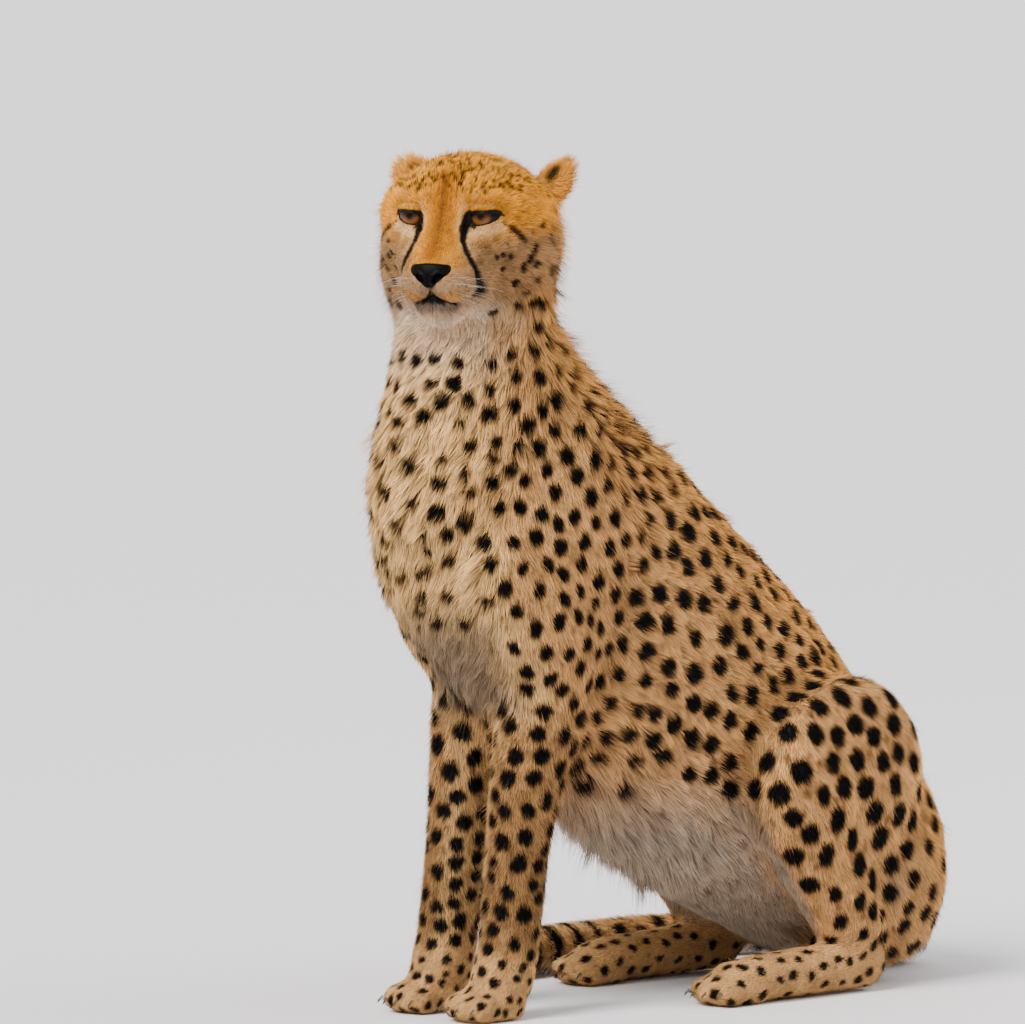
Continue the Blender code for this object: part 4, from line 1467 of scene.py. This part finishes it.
def nose_pad():
    """The bare nose: a rounded triangle on the muzzle's front, with comma-shaped nostrils."""
    wide, tall = 81, 55
    a = np.linspace(-1, 1, wide)
    b = np.linspace(0, 1, tall)
    half = np.convolve(np.pad(pad_half(b), 3, mode="edge"), np.ones(7) / 7, mode="valid")
    left = (a[None] * half[:, None]).ravel()
    up = (PAD_TOP + (PAD_BOTTOM - PAD_TOP) * b)[:, None] - 2.2 * (1 - b)[:, None] * a[None] ** 2
    up = up.ravel()
    starts = from_head(np.stack((left, np.full(left.shape, 130.0), up), 1) * MM)
    hits = np.array([surface.ray_cast(Vector(p), Vector(-HEAD_AXES[1]))[0] for p in starts])
    edge = np.minimum(1 - np.abs(np.tile(a, tall)), np.repeat(np.minimum(b * 1.4, (1 - b) * 2.2), wide))
    depth = in_head(hits)[:, 1].reshape(tall, wide)
    for _ in range(6):
        soft = np.pad(depth, 1, mode="edge")
        depth = (soft[:-2, 1:-1] + soft[2:, 1:-1] + soft[1:-1, :-2] + soft[1:-1, 2:] + 2 * depth) / 6
    forward = depth.ravel() / MM - PAD_SUNK + (PAD_SUNK + PAD_THICKNESS) * ease(0, 0.14, edge)
    for side in SIDES.values():
        gap, where = line_distance(np.stack((left, up), 1), np.array(NOSTRIL) * (side, 1))
        hole = np.exp(-((gap / (2.4 - 1.1 * where)) ** 4))
        wing = np.exp(-(((gap - 4.0) / 1.5) ** 2))
        forward -= NOSTRIL_DEPTH * hole * ease(0, 0.1, edge)
        forward += WING_HEIGHT * wing * ease(0, 0.2, edge)
    forward -= 1.0 * np.exp(-((left / 0.9) ** 2)) * ease(-52, -56, up)
    mesh = mesh_from("nose_pad", from_head(np.stack((left, forward, up), 1) * MM), strip(tall, wide, False))
    close_behind(mesh)
    made = new_object("nose_pad", mesh)
    made.data.shade_smooth()
    made.data.materials.append(nose_material())
    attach(made, "root")
    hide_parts("nose")


def close_behind(mesh):
    """The sheet's rim drawn back into the muzzle, and the hole closed."""
    bm = bmesh.new()
    bm.from_mesh(mesh)
    rim = [e for e in bm.edges if e.is_boundary]
    for item in bmesh.ops.extrude_edge_only(bm, edges=rim)["geom"]:
        if isinstance(item, bmesh.types.BMVert):
            item.co -= Vector(HEAD_AXES[1]) * PAD_BACK
    bmesh.ops.holes_fill(bm, edges=[e for e in bm.edges if e.is_boundary])
    bmesh.ops.recalc_face_normals(bm, faces=bm.faces)
    bm.to_mesh(mesh)
    bm.free()


def hair(start, way, length, radius, sag):
    """Points and faces of one tapered hair of three sides, bending down towards its tip."""
    steps = 7
    s = np.linspace(0, 1, steps)
    line = start + unit(way) * (s * length)[:, None] - sag * length * (s**2)[:, None] * UP
    along = unit(np.gradient(line, axis=0))
    across = unit(np.cross(along, (0.3, 0.2, 0.9)))
    other = np.cross(along, across)
    thick = radius * (1 - 0.85 * s)
    rings = [
        line + (across * math.cos(t) + other * math.sin(t)) * thick[:, None]
        for t in (0, 2 * math.pi / 3, 4 * math.pi / 3)
    ]
    points = np.stack(rings, 1).reshape(-1, 3)
    faces = strip(steps, 3, True) + [(2, 1, 0), (3 * steps - 3, 3 * steps - 2, 3 * steps - 1)]
    return points, faces


HAIR_RADIUS = 0.10 * MM
BROW_HAIRS = [(30, 15, 20), (36, 14, 22), (42, 12, 21)]


def whiskers():
    local = np.random.default_rng(91)
    hairs = []
    for side in SIDES.values():
        for i, root in enumerate(whisker_roots(side)):
            back = 0.15 + 0.03 * i
            way = np.array((side * 1.0, 0.25 - back * 1.6, 0.05 - 0.10 * (i // 5))) @ HEAD_AXES
            way = way + local.normal(0, 0.07, 3)
            length, sag = local.uniform(0.026, 0.050), local.uniform(0.1, 0.35)
            hairs.append(hair(np.array(on_skin(*root)), way, length, HAIR_RADIUS, sag))
        for left, forward, up in BROW_HAIRS:
            way = np.array((side * 0.9, 0.4, 0.8)) @ HEAD_AXES + local.normal(0, 0.1, 3)
            length, sag = local.uniform(0.020, 0.036), local.uniform(0.0, 0.2)
            hairs.append(hair(np.array(on_skin(side * left, forward, up)), way, length, HAIR_RADIUS, sag))
    points, faces, total = [], [], 0
    for some, those in hairs:
        points.append(some)
        faces += [tuple(i + total for i in face) for face in those]
        total += len(some)
    made = new_object("whiskers", mesh_from("whiskers", np.concatenate(points), faces))
    made.data.shade_smooth()
    made.data.materials.append(material("whisker", 0.5, colour=(0.62, 0.57, 0.50))[0])
    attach(made, "root")


def finish_claws():
    look = claw_material()
    for name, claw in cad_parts.items():
        if name.startswith("claw"):
            smooth = claw.modifiers.new("Subdivision", "SUBSURF")
            smooth.levels = smooth.render_levels = 2
            claw.data.shade_smooth()
            for slot in claw.material_slots:
                slot.material = look


eye_look = eye_material()
rim_look = rim_material()
rims = [lids(side) for side in SIDES]
for rim in rims:
    rim.data.materials.append(rim_look)
for side in SIDES:
    eyeball(side)
nose_pad()
whiskers()
finish_claws()
with bpy.context.temp_override(active_object=skin, selected_editable_objects=[skin, *rims]):
    bpy.ops.object.join()

# ------------ stage, light and camera
FLOOR_COLOUR = (0.80, 0.78, 0.79)
FLOOR_HALF = 300
CAMERA_AZIMUTH = math.radians(50)
CAMERA_RISE = math.radians(4)
CAMERA_DISTANCE = 9.0
CAMERA_TARGET = Vector(BROW + np.array((-0.0366, 0.1155, -0.3184)))
FOCAL = 296.5  # millimetres, for a sensor 36 wide
SENSOR = 36


def floor():
    corners = [(x * FLOOR_HALF, y * FLOOR_HALF, 0) for x, y in ((-1, -1), (1, -1), (1, 1), (-1, 1))]
    made = new_object("floor", mesh_from("floor", corners, [(0, 1, 2, 3)]))
    made.data.materials.append(material("floor", 0.9, colour=FLOOR_COLOUR)[0])


def light(name, place, kind_of_light, size, power, colour):
    """A lamp that looks at the camera's target."""
    lamp = bpy.data.lights.new(name, kind_of_light)
    setattr(lamp, "angle" if kind_of_light == "SUN" else "size", size)
    lamp.energy = power
    lamp.color = colour
    made = new_object(name, lamp)
    made.location = place
    made.rotation_euler = (CAMERA_TARGET - Vector(place)).to_track_quat("-Z", "Y").to_euler()


def studio():
    world = bpy.data.worlds.new("studio")
    bpy.context.scene.world = world
    world.use_nodes = True
    backdrop = world.node_tree.nodes["Background"]
    backdrop.inputs["Color"].default_value = (0.98, 0.98, 1.0, 1)
    backdrop.inputs["Strength"].default_value = 0.95
    light("key", (0.8, -4.6, 4.8), "SUN", math.radians(26), 5.4, (1.0, 0.97, 0.93))
    light("rim", (2.0, 3.0, 2.6), "AREA", 2.0, 70, (1.0, 0.98, 0.95))


def camera():
    lens = bpy.data.cameras.new("camera")
    lens.lens = FOCAL
    lens.sensor_width = SENSOR
    lens.clip_end = 1000
    made = new_object("camera", lens)
    flat = math.cos(CAMERA_RISE)
    sine, cosine = math.sin(CAMERA_AZIMUTH), math.cos(CAMERA_AZIMUTH)
    away = Vector((sine * flat, -cosine * flat, math.sin(CAMERA_RISE)))
    made.location = CAMERA_TARGET + away * CAMERA_DISTANCE
    made.rotation_euler = away.to_track_quat("Z", "Y").to_euler()
    bpy.context.scene.camera = made


floor()
studio()
camera()
